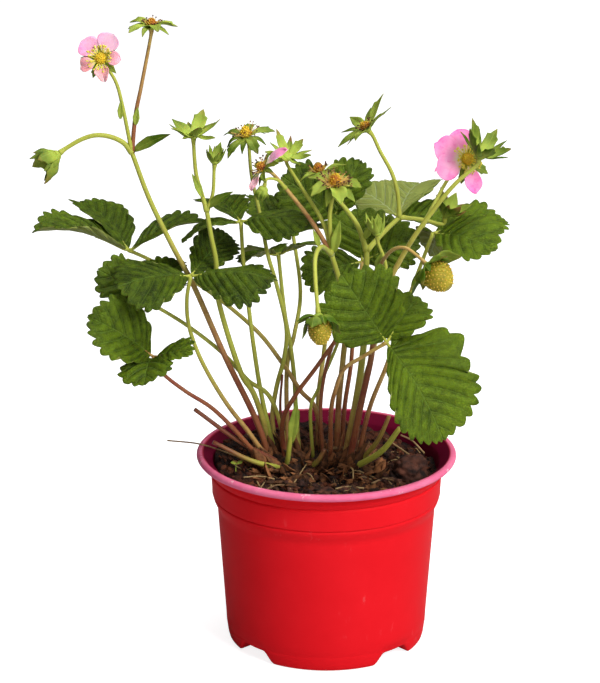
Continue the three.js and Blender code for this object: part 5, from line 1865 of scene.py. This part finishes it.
@dataclass
class Crown:
    """The woody crown, every stalk that grows from it, the sheaths round their feet, the cut
    stubs of old stalks, the bracts at the forks and one folded young leaf."""

    centre: tuple[float, float] = (-6.0, -1.0)
    radii: tuple[float, float] = (31.0, 16.0)
    seed: int = 40
    hairs_per_mm: float = 1.4
    litter: int = 190

    def mound(self) -> Surface:
        """Builds the crown's woody top: rings of the solid's outline, knobbed by noise.

        Returns:
            The mound with a value "tone".
        """
        reach = np.array([1.0, 1.0, 0.97, 0.86, 0.68, 0.45, 0.2])
        level = np.array([74.0, 88.5, 91.0, 93.6, 95.6, 96.7, 97.2])[:, None]
        flat = reach[:, None, None] * (compass(turns(120)) * self.radii) + self.centre
        knob = layered(flat, self.seed, (2.0, 9), (1.4, 3.5)) - 1.2
        rings = at_height(flat, level + np.where(level > 90, knob, 0))
        return closed_rings(rings, tone=0.4 * wavy(flat, 5, self.seed + 4) - 0.2)

    def scale(
        self, foot: Array, tip: Array, width: float, face: Array, tone: float, seed: int
    ) -> Surface:
        """A papery sheath: a blade that hugs a stalk's foot and tapers to a ragged point.

        Args:
            foot: where it starts.
            tip: where it ends.
            width: in mm.
            face: the way its outer side faces.
            tone: how light a brown it is.
            seed: names the draw.

        Returns:
            The blade.
        """
        along, side, up, length = blade_axes(foot, tip, face)
        s = np.linspace(0, 1, 12)[:, None]
        v = np.linspace(-1, 1, 9)[None] * 1.15
        half = width / 2 * np.interp(s, [0, 0.35, 0.7, 1], [0.85, 1, 0.65, 0.06])
        across = half * np.sin(v) / math.sin(1.15)
        rough = wavy(np.stack(np.broadcast_arrays(s * length, across), axis=-1), 6, seed)
        height = half * (np.cos(v) - 1) * 1.1 + 0.4 * rough
        return blade(moved(foot, (s * length, along), (across, side), (height, up)), 0.4, tone=tone)

    def sheaths(self) -> Surface:
        """Builds the sheaths on the feet of the stalks, and withered scraps of old ones that
        lie between them.

        Returns:
            All of them.
        """
        rng = np.random.default_rng(self.seed + 2)
        stalks = [stalk for stalk in FLOWER_STALKS if stalk.from_crown]
        parts = []
        for number, stalk in enumerate([*LEAVES, *stalks]):
            first, second = np.asarray(stalk.route[:2], float)
            along = unit(second - first)
            base = first + along * (96 - first[2]) / max(along[2], 0.3) * 0.4
            for turn in rng.uniform(0, math.tau, 3):
                face = np.array([*compass(turn), 0.1])
                foot = base + face * 1.4
                tip = foot + along * rng.uniform(8, 18) + face * rng.uniform(0.2, 2.4)
                width, tone = rng.uniform(4, 7), rng.uniform(0.1, 1.0)
                parts.append(self.scale(foot, tip, width, face, tone, number))
        for number in range(self.litter):
            turn, reach = rng.uniform(0, math.tau), rng.uniform(0.2, 1.2)
            way = compass(turn)
            flat = np.array(self.radii) * reach * way + self.centre - [0, 5 * reach]
            foot = np.array([*flat, 96.8 - 5.5 * reach])
            way = np.array([*(way + rng.normal(size=2) * 0.5), rng.uniform(0.1, 1.1)])
            tip = foot + unit(way) * rng.uniform(3.5, 11)
            face = np.array([*(rng.normal(size=2) * 0.4 - [0, 0.3]), 1.0])
            width, tone = rng.uniform(2.5, 5.5), rng.uniform(0.0, 1.0)
            parts.append(self.scale(foot, tip, width, face, tone, number + 60))
        return Surface.joined(parts)

    def bract(self, base: Vec, tip: Vec, width: float, tone: float) -> Surface:
        """A small leafy blade at a fork, folded along its rib.

        Args:
            base: where it starts.
            tip: its point.
            width: in mm.
            tone: how pale it is.

        Returns:
            The blade with the values along, rib and tone.
        """
        along, side, up, length = blade_axes(base, tip, (0, -0.8, 0.6))
        s = np.linspace(0, 1, 16)[:, None]
        half = width / 2 * np.interp(s, [0, 0.15, 0.45, 0.8, 1], [0.3, 0.7, 1, 0.5, 0.03])
        across = half * np.linspace(-1, 1, 9)[None]
        height = 0.35 * np.abs(across) + 0.06 * length * np.sin(math.pi * s)
        base = np.asarray(base, float)
        grid = moved(base, (s * length, along), (across, side), (height, up))
        return blade(grid, 0.35, along=s, rib=np.abs(across), tone=tone, dry=0.3)

    def hairs(self, paths: Sequence[tuple[Array, Array]]) -> Surface:
        """Fine hairs that stand off the skin of the stalks.

        Args:
            paths: middle lines with their radii.

        Returns:
            The hairs.
        """
        rng = np.random.default_rng(self.seed + 3)
        found = []
        for path, radii in paths:
            far = reached(path)
            count = int(far[-1] * self.hairs_per_mm)
            place = rng.uniform(0.15, 1, count) * far[-1]
            middle, here = (
                np.stack([np.interp(place, far, column) for column in table.T], axis=-1)
                for table in (path, unit(np.gradient(path, axis=0)))
            )
            one = unit(np.cross(here, np.array([0.31, 0.95, 0.05])))
            turn = rng.uniform(0, math.tau, count)[:, None]
            outward = np.cos(turn) * one + np.sin(turn) * np.cross(here, one)
            foot = middle + outward * (np.interp(place, far, radii) * 0.92)[:, None]
            way = unit(outward + here * rng.normal(size=(count, 1)) * 0.35)
            found.append((foot, way, rng.uniform(0.6, 1.3, count)))
        return slivers(*(np.concatenate(part) for part in zip(*found)))

    def made(self, palette: Palette) -> None:
        """Builds the crown, stalks, sheaths, stubs, bracts with the young leaf, and hairs.

        Args:
            palette: the finishes.
        """
        paths = [stalk.path() for stalk in FLOWER_STALKS]
        radii = [stalk.radii_along(path) for stalk, path in zip(FLOWER_STALKS, paths)]
        stubs = []
        for route, ends, greens in STUBS:
            path = smooth_route(route)
            radius, tone = np.linspace((ends[0], greens[0]), (ends[1], greens[1]), len(path)).T
            stubs.append(tube(path, radius, 12, tone=tone))
        tubes = [
            tube(path, radius, 12, tone=stalk.green)
            for stalk, path, radius in zip(FLOWER_STALKS, paths, radii)
        ]
        pieces = (
            ("crown_mound", "crown", "stalk", [self.mound()]),
            ("crown_sheaths", "crown", "stalk", [self.sheaths()]),
            ("leaf_stalks", "stalk", "stalk", [stem for leaf in LEAVES for stem in leaf.stems()]),
            ("flower_stalks", "stalk", "stalk", tubes),
            ("cut_stubs", "stub", "stalk", stubs),
            ("fork_bracts", "sepal", "sepal", [self.bract(*bract) for bract in BRACTS]),
        )
        for name, finish, slot, parts in pieces:
            Surface.joined(parts).made(name, palette[finish], slot, "crown_and_stalks")
        for leaf in LEAVES:
            paths.append(smooth_route([*leaf.route, leaf.hub]))
            radii.append(np.linspace(*leaf.STALK, len(paths[-1])))
        self.hairs(list(zip(paths, radii))).made("stalk_hairs", palette["down"], "stalk")


# Blooms


class Stage(Enum):
    """How far a bloom's centre has come."""

    FRESH = "fresh"
    SPENT = "spent"


@dataclass(frozen=True)
class Centre:
    """The dome of pistils and its ring of stamens. gold is how golden the pistils are."""

    radius: float
    height: float
    stamens: int
    stage: Stage = Stage.SPENT
    reach: float = 3.4
    gold: float = 0.25


@dataclass(frozen=True)
class Petals:
    """Which of the five petals are there, how large, and how they open. For each, wilt is how
    far it has shrivelled, tone how strong its pink is, slim its width, and shift how far it
    stands off its even place."""

    radius: float
    present: Sequence[float]
    turn_deg: float
    start_deg: float
    end_deg: float
    wilt: Sequence[float] = (0, 0, 0, 0, 0)
    tone: Sequence[float] = (0.2, 0.2, 0.2, 0.2, 0.2)
    slim: Sequence[float] = (1, 1, 1, 1, 1)
    shift_deg: Sequence[float] = (0, 0, 0, 0, 0)


@dataclass(frozen=True)
class Berry:
    """An unripe berry."""

    radius: float
    length: float
    seeds: int = 120

    def radius_at(self, share: Array) -> Array:
        """Returns sin(angle)^0.62 (1 - 0.12 share), its angle from 0.12 to 0.95 of half a turn."""
        return self.radius * np.sin(math.pi * (0.12 + 0.83 * share)) ** 0.62 * (1 - 0.12 * share)


@dataclass(frozen=True)
class Bloom:
    """A calyx on its stalk, and what it still holds. The axis points out of the bloom.

    The sepals leave the cup at the first angle from the axis and bend to the last. toothed is
    the share of them whose tips have three points, and dry is how brown their tips are.
    """

    foot: Vec
    axis: Vec
    sepal: float
    width: float = 0.46
    start_deg: float = 60.0
    end_deg: float = 80.0
    spread_deg: float = 6.0
    petals: Petals | None = None
    centre: Centre | None = None
    berry: Berry | None = None
    tone: float = 0.3
    toothed: float = 0.5
    dry: float = 0.5

    CUP = 2.4
    GAP = 0.3
    SHARES = (0, 0.12, 0.4, 0.6, 0.72, 0.77, 0.86, 1)
    POINTED = (0.5, 0.8, 1, 0.84, 0.62, 0.52, 0.32, 0.02)
    TOOTHED = (0.5, 0.78, 1, 0.95, 1.02, 0.56, 0.42, 0.03)
    PETAL_SHARES = (0, 0.12, 0.3, 0.5, 0.65, 0.8, 0.9, 0.96, 1)
    PETAL = (0.16, 0.42, 0.78, 0.97, 1.0, 0.9, 0.7, 0.46, 0.1)
    CUP_OUTLINE = (
        (0.9, 0.15), (1.5, 0.5), (2.15, 1.1), (2.5, 1.7), (2.4, 2.15), (1.8, 2.35), (0.9, 2.45)
    )

    def frame(self) -> tuple[Array, Array]:
        """Returns the foot and the unit axis."""
        return np.asarray(self.foot, float), unit(np.asarray(self.axis, float))

    def bent(
        self, root: Array, outward: Array, angles: Array, length: float
    ) -> tuple[Array, Array, Array]:
        """A middle line that leaves the root and turns away from the axis.

        Args:
            root: where it starts.
            outward: its direction away from the axis.
            angles: its angle from the axis at each place, in radians.
            length: in mm.

        Returns:
            The places, and there the unit directions along it and up from its inner side.
        """
        _, axis = self.frame()
        cosine, sine = compass(angles).T[..., None]
        along, up = cosine * axis + sine * outward, sine * axis - cosine * outward
        step = length / (len(angles) - 1)
        return root + (np.cumsum(along, axis=0) - along[0]) * step, along, up

    def sepal_blade(self, number: int, seed: int) -> Surface:
        """One sepal, folded along its rib and a little twisted. Every other one is narrow.

        Args:
            number: from 0 to 9 round the cup.
            seed: names the draw.

        Returns:
            The blade with the values along, rib, dry and tone.
        """
        rng = np.random.default_rng(seed * 31 + number)
        foot, axis = self.frame()
        narrow = number % 2 == 1
        share, wider, lower, darker = (0.84, 0.31, 9, 0.16) if narrow else (1.0, 0.5, 0, 0)
        outward = outward_at(axis, math.tau * number / 10 + rng.normal() * 0.06)
        s = np.linspace(0, 1, 27)[:, None]
        lean = rng.normal() * self.spread_deg + lower
        bend = (self.end_deg - self.start_deg) * smoothstep(0.15, 0.75, s[:, 0])
        length = self.sepal * share * (1 + rng.normal() * 0.06)
        root = foot + axis * (self.CUP - 0.6) + outward * 1.9
        angles = np.radians(self.start_deg + bend + lean)
        middle, _, up = self.bent(root, outward, angles, length)
        v = np.linspace(-1, 1, 9)
        toothed = not narrow and rng.uniform() < self.toothed
        shift = np.where(v > 0, 1, -1) * rng.uniform(-0.05, 0.05)
        at = np.clip(s + shift * np.sin(math.pi * s), 0, 1)
        outline = np.interp(at, self.SHARES, self.TOOTHED if toothed else self.POINTED)
        across = self.sepal * self.width * wider * outline * v
        at = np.stack([s * length + 0 * across, across], axis=-1)
        height = rng.uniform(0.15, 0.5) * np.abs(across) + 0.35 * wavy(at, 6, seed + number)
        height = height + rng.normal() * 0.22 * s * across
        steps = (across, np.cross(axis, outward)), (height, up[:, None])
        tone = np.clip(self.tone + rng.uniform(-0.18, 0.18) - darker, 0, 1)
        values = {"rib": np.abs(across), "tone": tone, "dry": self.dry * rng.uniform(0.3, 1.3)}
        return blade(moved(middle[:, None], *steps), 0.34, along=s, **values)

    def calyx(self, seed: int) -> Surface:
        """The cup with five broad sepals and five narrow ones between them.

        Args:
            seed: names the draw.

        Returns:
            The whole calyx.
        """
        cup = turned(self.CUP_OUTLINE, *self.frame(), 20)
        cup.tagged(tone=self.tone + 0.2, along=0.25, rib=1.0)
        return Surface.joined([cup, *(self.sepal_blade(number, seed) for number in range(10))])

    def petal_blade(self, number: int, seed: int) -> Surface:
        """One petal: a round blade on a short claw, cupped across, notched and ruffled. A wilted
        one is narrower, curls more and has a ragged rim.

        Args:
            number: from 0 to 4 round the cup.
            seed: names the draw.

        Returns:
            The blade with the values along, across, wilt and tone.
        """
        spec = self.petals
        rng = np.random.default_rng(seed * 17 + number)
        foot, axis = self.frame()
        turn_deg = 72 * number + spec.turn_deg + spec.shift_deg[number]
        outward = outward_at(axis, math.radians(turn_deg))
        wilt = spec.wilt[number]
        s = np.linspace(0, 1, 24)
        opened = spec.start_deg + (spec.end_deg - spec.start_deg) * s
        angles = np.radians(opened + rng.normal() * 4 + 30 * wilt * s**2)
        length = spec.radius * spec.present[number]
        root = foot + axis * (self.CUP + self.GAP + 0.4) + outward * 3.2
        middle, along, up = self.bent(root, outward, angles, length)
        v = np.linspace(-1, 1, 21)
        half = length * 0.58 * (1 - 0.2 * wilt) * spec.slim[number]
        half = (half * np.interp(s, self.PETAL_SHARES, self.PETAL))[:, None]
        s = s[:, None]
        across = half * v
        at = np.stack([s * length + 0 * across, across], axis=-1)
        torn = wavy(np.stack([v * 9, 0 * v], axis=-1), 4, seed + number)
        ragged = 0.05 * np.exp(-((v / 0.16) ** 2)) + (0.03 + 0.16 * wilt) * torn
        pull = length * (0.05 * np.abs(v) ** 2.2 + ragged) * smoothstep(0.5, 1, s)
        ruffle = (0.5 + 0.9 * wilt) * (0.2 + s) * wavy(at, 7 - 2 * wilt, seed * 5 + number)
        height = (0.14 + 0.35 * wilt) * half * v**2 + ruffle
        steps = (across, np.cross(axis, outward)), (height, up[:, None]), (-pull, along[:, None])
        tone = np.clip(spec.tone[number] + 0.25 * wavy(at, 9, seed + 3), 0, 1)
        values = {"across": v, "wilt": wilt, "tone": tone}
        return blade(moved(middle[:, None], *steps), 0.3, along=s, **values)

    def heart(self, seed: int) -> tuple[Surface, Surface]:
        """The pistils on their dome, by the golden angle, and the stamens round it.

        Args:
            seed: names the draw.

        Returns:
            The dome with its pistils, and the stamens.
        """
        spec = self.centre
        rng = np.random.default_rng(seed + 900)
        foot, axis = self.frame()
        level = foot + axis * (self.CUP + self.GAP)
        radius, height = spec.radius, spec.height + 0.6
        cosine, sine = compass(np.linspace(0.0, math.pi / 2, 9)[:-1]).T
        outline = [(radius * 0.8, 0.0), *zip(radius * 0.92 * cosine**0.8, height * 0.92 * sine)]
        dome = turned(outline, level, axis, 24).tagged(tone=spec.gold - 0.4)
        count = int(20 * radius)
        number = np.arange(count) + 0.5
        high = 1 - number / count
        flat = np.sqrt(1 - high**2)
        ring = outward_at(axis, number * GOLDEN_ANGLE)
        places = moved(level, (radius * flat, ring), (height * high, axis))
        normals = unit(ring * (flat / radius)[:, None] + axis * (high / height)[:, None])
        knobs = beads(places, normals, rng.uniform(0.34, 0.58, count), 0.8, rng)
        knobs.values["tone"] = np.clip(spec.gold - 0.35 + 0.8 * knobs.values["tone"], 0, 1)

        fresh = spec.stage is Stage.FRESH
        times, size, tones = (3, 0.62, (0.2, 0.8)) if fresh else (2, 0.54, (-0.4, 0.1))
        s = np.linspace(0, 1, 6)[:, None]
        stamens = []
        for k in range(spec.stamens * times):
            away = outward_at(axis, math.tau * k / (spec.stamens * times) + rng.normal() * 0.1)
            lean = math.radians(rng.uniform(35, 78))
            reach = spec.reach * rng.uniform(0.7, 1.15)
            way = axis * math.cos(lean) + away * math.sin(lean)
            bend = axis * rng.uniform(-0.4, 0.6) + away * rng.normal() * 0.3
            path = level + away * radius * 0.95 + axis * 0.5 + way * reach * s + bend * s**2 * 0.8
            stamens.append(tube(path, np.linspace(0.2, 0.12, 6), 5, tone=rng.uniform(0.7, 1)))
            tip = beads(path[-1:], unit(path[-1:] - path[-2:-1]), np.array([size]), 0.8, rng)
            stamens.append(tip.tagged(tone=rng.uniform(*tones)))
        return Surface.joined([dome, knobs]), Surface.joined(stamens)

    def berry_parts(self, seed: int) -> tuple[Surface, Surface]:
        """The berry's skin, which swells between its seeds, and the seeds in their pits. Seeds
        lie on a spiral by the golden angle.

        Args:
            seed: names the draw.

        Returns:
            The skin and the seeds.
        """
        spec = self.berry
        rng = np.random.default_rng(seed + 500)
        foot, axis = self.frame()
        base = foot + axis * (self.CUP + self.GAP)
        number = np.arange(spec.seeds) + 0.5
        at = 0.06 + 0.92 * number / spec.seeds
        outward = outward_at(axis, number * GOLDEN_ANGLE)
        seeds = moved(base, (at * spec.length, axis), (spec.radius_at(at), outward))
        share = np.linspace(0, 1, 60)[:, None]
        ring = outward_at(axis, turns(88))[None]
        rings = moved(base, (share * spec.length, axis), (spec.radius_at(share), ring))
        away = np.linalg.norm(rings[:, :, None] - seeds, axis=-1).min(axis=-1)
        spacing = math.sqrt(4 * math.pi * spec.radius**2 / spec.seeds)
        pit = 0.55 * (smoothstep(0.1 * spacing, 0.62 * spacing, away) - 0.6)
        pit = (pit * np.sin(math.pi * np.clip(share, 0.02, 0.98)) ** 0.4)[..., None]
        rings = rings + ring * pit + axis * pit * (share[..., None] - 0.5) * 0.8
        ends = np.stack([base, base + axis * (spec.length + 0.2)])
        skin = closed_rings(rings, ends, tone=0.1 + 0.35 * share)
        slope = np.gradient(spec.radius_at(at), at) / spec.length
        normals = unit(outward - axis * slope[:, None])
        return skin, beads(seeds - normals * 0.1, normals, np.full(spec.seeds, 0.6), 0.75, rng)

    def made(self, place: str, palette: Palette, seed: int) -> None:
        """Builds the bloom's pieces.

        Args:
            place: its place in the plant, which its solids are named after.
            palette: the finishes.
            seed: names the draw.
        """
        fresh = self.centre is not None and self.centre.stage is Stage.FRESH
        pieces = [("sepals_", "sepal", "sepal", "calyx_", self.calyx(seed))]
        if self.petals:
            blades = (self.petal_blade(k, seed) for k in range(5) if self.petals.present[k])
            pieces += [("petal_blades_", "petal", "petal", "petals_", Surface.joined(blades))]
        if self.centre:
            pistils, stamens = self.heart(seed)
            stalked = "stamen" if fresh else "withered"
            pieces += [("pistils_", "pistil", "stamen", "flower_centre_", pistils)]
            pieces += [("stamens_", stalked, "stamen", "flower_centre_", stamens)]
        if self.berry:
            skin, seeds = self.berry_parts(seed)
            pieces += [("skin_", "berry", "berry", "fruit_", skin)]
            pieces += [("seeds_", "seed", "berry", "fruit_", seeds)]
        for name, finish, slot, node, surface in pieces:
            surface.made(name + place, palette[finish], slot, node + place)


BLOOMS = {
    "left_tip": Bloom(
        (-128, -6, 252), (-0.8, -0.25, -0.55), 14.5, 0.6, 50, 13, tone=0.62, toothed=0.8, dry=0.7,
    ),
    "left_pink": Bloom(
        (-107, -3.8, 296), (-0.15, -0.85, 0.5), 8, start_deg=82, end_deg=92, petals=Petals(9.5,
        (0.8, 0.8, 0.75, 1.05, 1.0), 32, 74, 80, (0.8, 0.9, 0.7, 0, 0),
        (0.3, 0.2, 0.35, 0.0, 0.35)), centre=Centre(2.6, 2.2, 13, Stage.FRESH, 4.2, gold=1.0),
        tone=0.15,
    ),
    "left_top": Bloom(
        (-84, 2, 309.8), (0.05, -0.05, 1), 11.5, 0.52, 80, 106,
        centre=Centre(2.4, 2.2, 8, reach=2.9, gold=0.1), tone=0.6, toothed=0.9,
    ),
    "left_star": Bloom((-64, -8, 259), (0, -0.2, 0.98), 13, 0.52, 70, 50, tone=0.5),
    "left_bud": Bloom((-54, -10, 247), (0.1, -0.1, 1), 8, 0.46, 42, 14, tone=0.4),
    "back_left": Bloom(
        (-39, 22, 252), (-0.2, -0.25, 0.95), 13, 0.4, 84, 116,
        centre=Centre(2.8, 4, 10, reach=5.0, gold=0.85), tone=0.12, toothed=0.9,
    ),
    "centre_pink": Bloom(
        (-29, -17, 246), (-0.75, -0.35, 0.55), 8, start_deg=80, end_deg=100, petals=Petals(9,
        (0, 1, 0, 1.62, 0), 29, 80, 104, (0, 0.6, 0, 0.1, 0), (0, 0, 0, 0.4, 0),
        (1, 0.62, 1, 0.36, 1), (0, 0, 0, -18, 0)), centre=Centre(2.4, 2.4, 10, gold=0.2),
    ),
    "centre_bud": Bloom((-30, -24, 240), (-0.35, 0.05, -0.95), 6.5, 0.6, 30, -14, tone=0.45),
    "centre_star": Bloom(
        (-19, -4, 248.4), (0.1, -0.45, 0.88), 11.5, 0.42, 72, 52, tone=0.5, dry=0.9,
    ),
    "centre_open": Bloom(
        (3, -18, 237), (0.08, -0.3, 0.95), 13.5, 0.6, 80, 116,
        centre=Centre(3, 5, 34, reach=5.2, gold=0.5), tone=0.6, toothed=0.8,
    ),
    "centre_rear": Bloom(
        (-3, 1, 238.6), (-0.3, 0.1, 0.95), 11, 0.46, 78, 98, centre=Centre(2.6, 3.4, 9, gold=0.0),
        tone=0.5,
    ),
    "berry_front": Bloom(
        (-4.8, -61, 188.6), (0.1, -0.3, -0.95), 13.8, 0.58, 84, 30, 16, berry=Berry(5.8, 12.5, 110),
        tone=0.15, toothed=0.3,
    ),
    "right_old": Bloom(
        (57.5, 4.4, 217), (0.35, -0.15, 0.9), 12, 0.56, 46, 30, tone=0.35, toothed=0.7, dry=1.1,
    ),
    "right_tall": Bloom(
        (20, 0, 261), (-0.6, -0.2, 0.8), 16, 0.34, 66, 78,
        centre=Centre(2.4, 2.4, 7, reach=2.6, gold=0.1), toothed=0.8,
    ),
    "right_star": Bloom(
        (71, -25, 253), (0.35, -0.15, 0.92), 16, 0.38, 52, 34, tone=0.14, toothed=1.0,
    ),
    "right_pink": Bloom(
        (66, -10, 249.2), (0.2, -0.9, 0.35), 10, start_deg=84, end_deg=94, petals=Petals(12.5,
        (1.22, 1.16, 1.15, 0, 0.98), -36, 76, 82, tone=(0.7, 0.6, 0.8, 0, 0.85),
        slim=(0.74, 0.76, 0.52, 1, 0.86), shift_deg=(10, -18, -11, 0, 36)),
        centre=Centre(2.8, 2.6, 14, Stage.FRESH, 4.2, gold=0.95), tone=0.25,
    ),
    "berry_right": Bloom(
        (45.4, -45.7, 208), (0.6, -0.55, -0.5), 16, 0.62, 88, 44, 14, berry=Berry(7.4, 14.4, 150),
        tone=0.12, toothed=0.3,
    ),
    "right_young": Bloom((24, -17, 213.4), (-0.1, -0.1, 1), 9.5, 0.42, 34, 6, tone=0.9),
}


# Studio


@dataclass
class Studio:
    """The camera at the photograph's angle, a pale floor and soft light."""

    eye: Vec = (-0.0132, -1.100, 0.501)
    pitch_deg: float = 72.55
    lens: float = 123.07
    floor_size: float = 12.0
    surround: float = 0.36

    LAMPS = (
        ("key", (1.05, -1.2, 1.3), 0.75, 38.5),
        ("fill", (0.4, -1.8, 0.3), 0.9, 6.5),
        ("top", (0.0, 0.2, 1.8), 1.2, 25),
    )

    def camera(self) -> None:
        """Puts the camera where the photograph was taken from."""
        data = bpy.data.cameras.new("camera")
        data.sensor_fit, data.sensor_width = "AUTO", 36.0
        data.lens, data.clip_end = self.lens, 100.0
        eye = placed("camera", data)
        eye.location = self.eye
        eye.rotation_euler = (math.radians(self.pitch_deg), 0, 0)
        bpy.context.scene.camera = eye

    def lamp(self, name: str, place: Vec, size: float, watts: float) -> None:
        """Adds a square soft light.

        Args:
            name: its name.
            place: where it is, in metres.
            size: the length of its side in metres.
            watts: its power.
        """
        data = bpy.data.lights.new(name, "AREA")
        data.shape, data.size, data.energy = "SQUARE", size, watts
        lamp = placed(name, data)
        lamp.location = place
        across, back, down = np.array([0, 0, 0.16]) - np.asarray(place, float)
        tilt = math.atan2(math.hypot(across, back), -down)
        lamp.rotation_euler = (tilt, 0, math.atan2(-across, back))

    def surroundings(self) -> None:
        """Makes the world: white to the camera, and as a light bright on the right and dark on
        the left, as beside a black card."""
        world = bpy.data.worlds.new("surroundings")
        world.use_nodes = True
        it = Tree(world.node_tree)
        seen = it.node("LightPath").outputs["Is Camera Ray"]
        background = world.node_tree.nodes["Background"]
        background.inputs["Color"].default_value = (1, 1, 1, 1)
        way = it.node("SeparateXYZ", Vector=it.node("TexCoord").outputs["Generated"])
        towards = it.line(way.outputs["X"], 0.8, it.times(way.outputs["Y"], -0.6))
        lit = it.line(it.step(towards, -0.6, 0.6), self.surround, 0.02)
        it.feed(background.inputs["Strength"], it.math("MAXIMUM", seen, lit))
        bpy.context.scene.world = world

    def made(self, palette: Palette) -> None:
        """Builds the floor, the white surroundings, the lights and the camera.

        Args:
            palette: the finishes.
        """
        mesh = bpy.data.meshes.new("floor")
        half, low = self.floor_size / 2, -0.2 * MM
        corners = [(-half, -half, low), (half, -half, low), (half, half, low), (-half, half, low)]
        mesh.from_pydata(corners, [], [(0, 1, 2, 3)])
        mesh.materials.append(palette["floor"])
        floor = placed("floor", mesh)
        self.surroundings()
        for lamp in self.LAMPS:
            self.lamp(*lamp)
        bpy.context.scene.view_settings.view_transform = "Standard"
        self.camera()


def main() -> None:
    """Builds every sub-assembly in order."""
    logging.basicConfig(level=logging.INFO, format="%(message)s")
    palette = mixed()
    for assembly in (Studio(), Pot(), Soil(), *BARK, Crown(), *LEAVES):
        assembly.made(palette)
    for seed, (place, bloom) in enumerate(BLOOMS.items()):
        bloom.made(place, palette, seed)


if __name__ == "__main__":
    main()
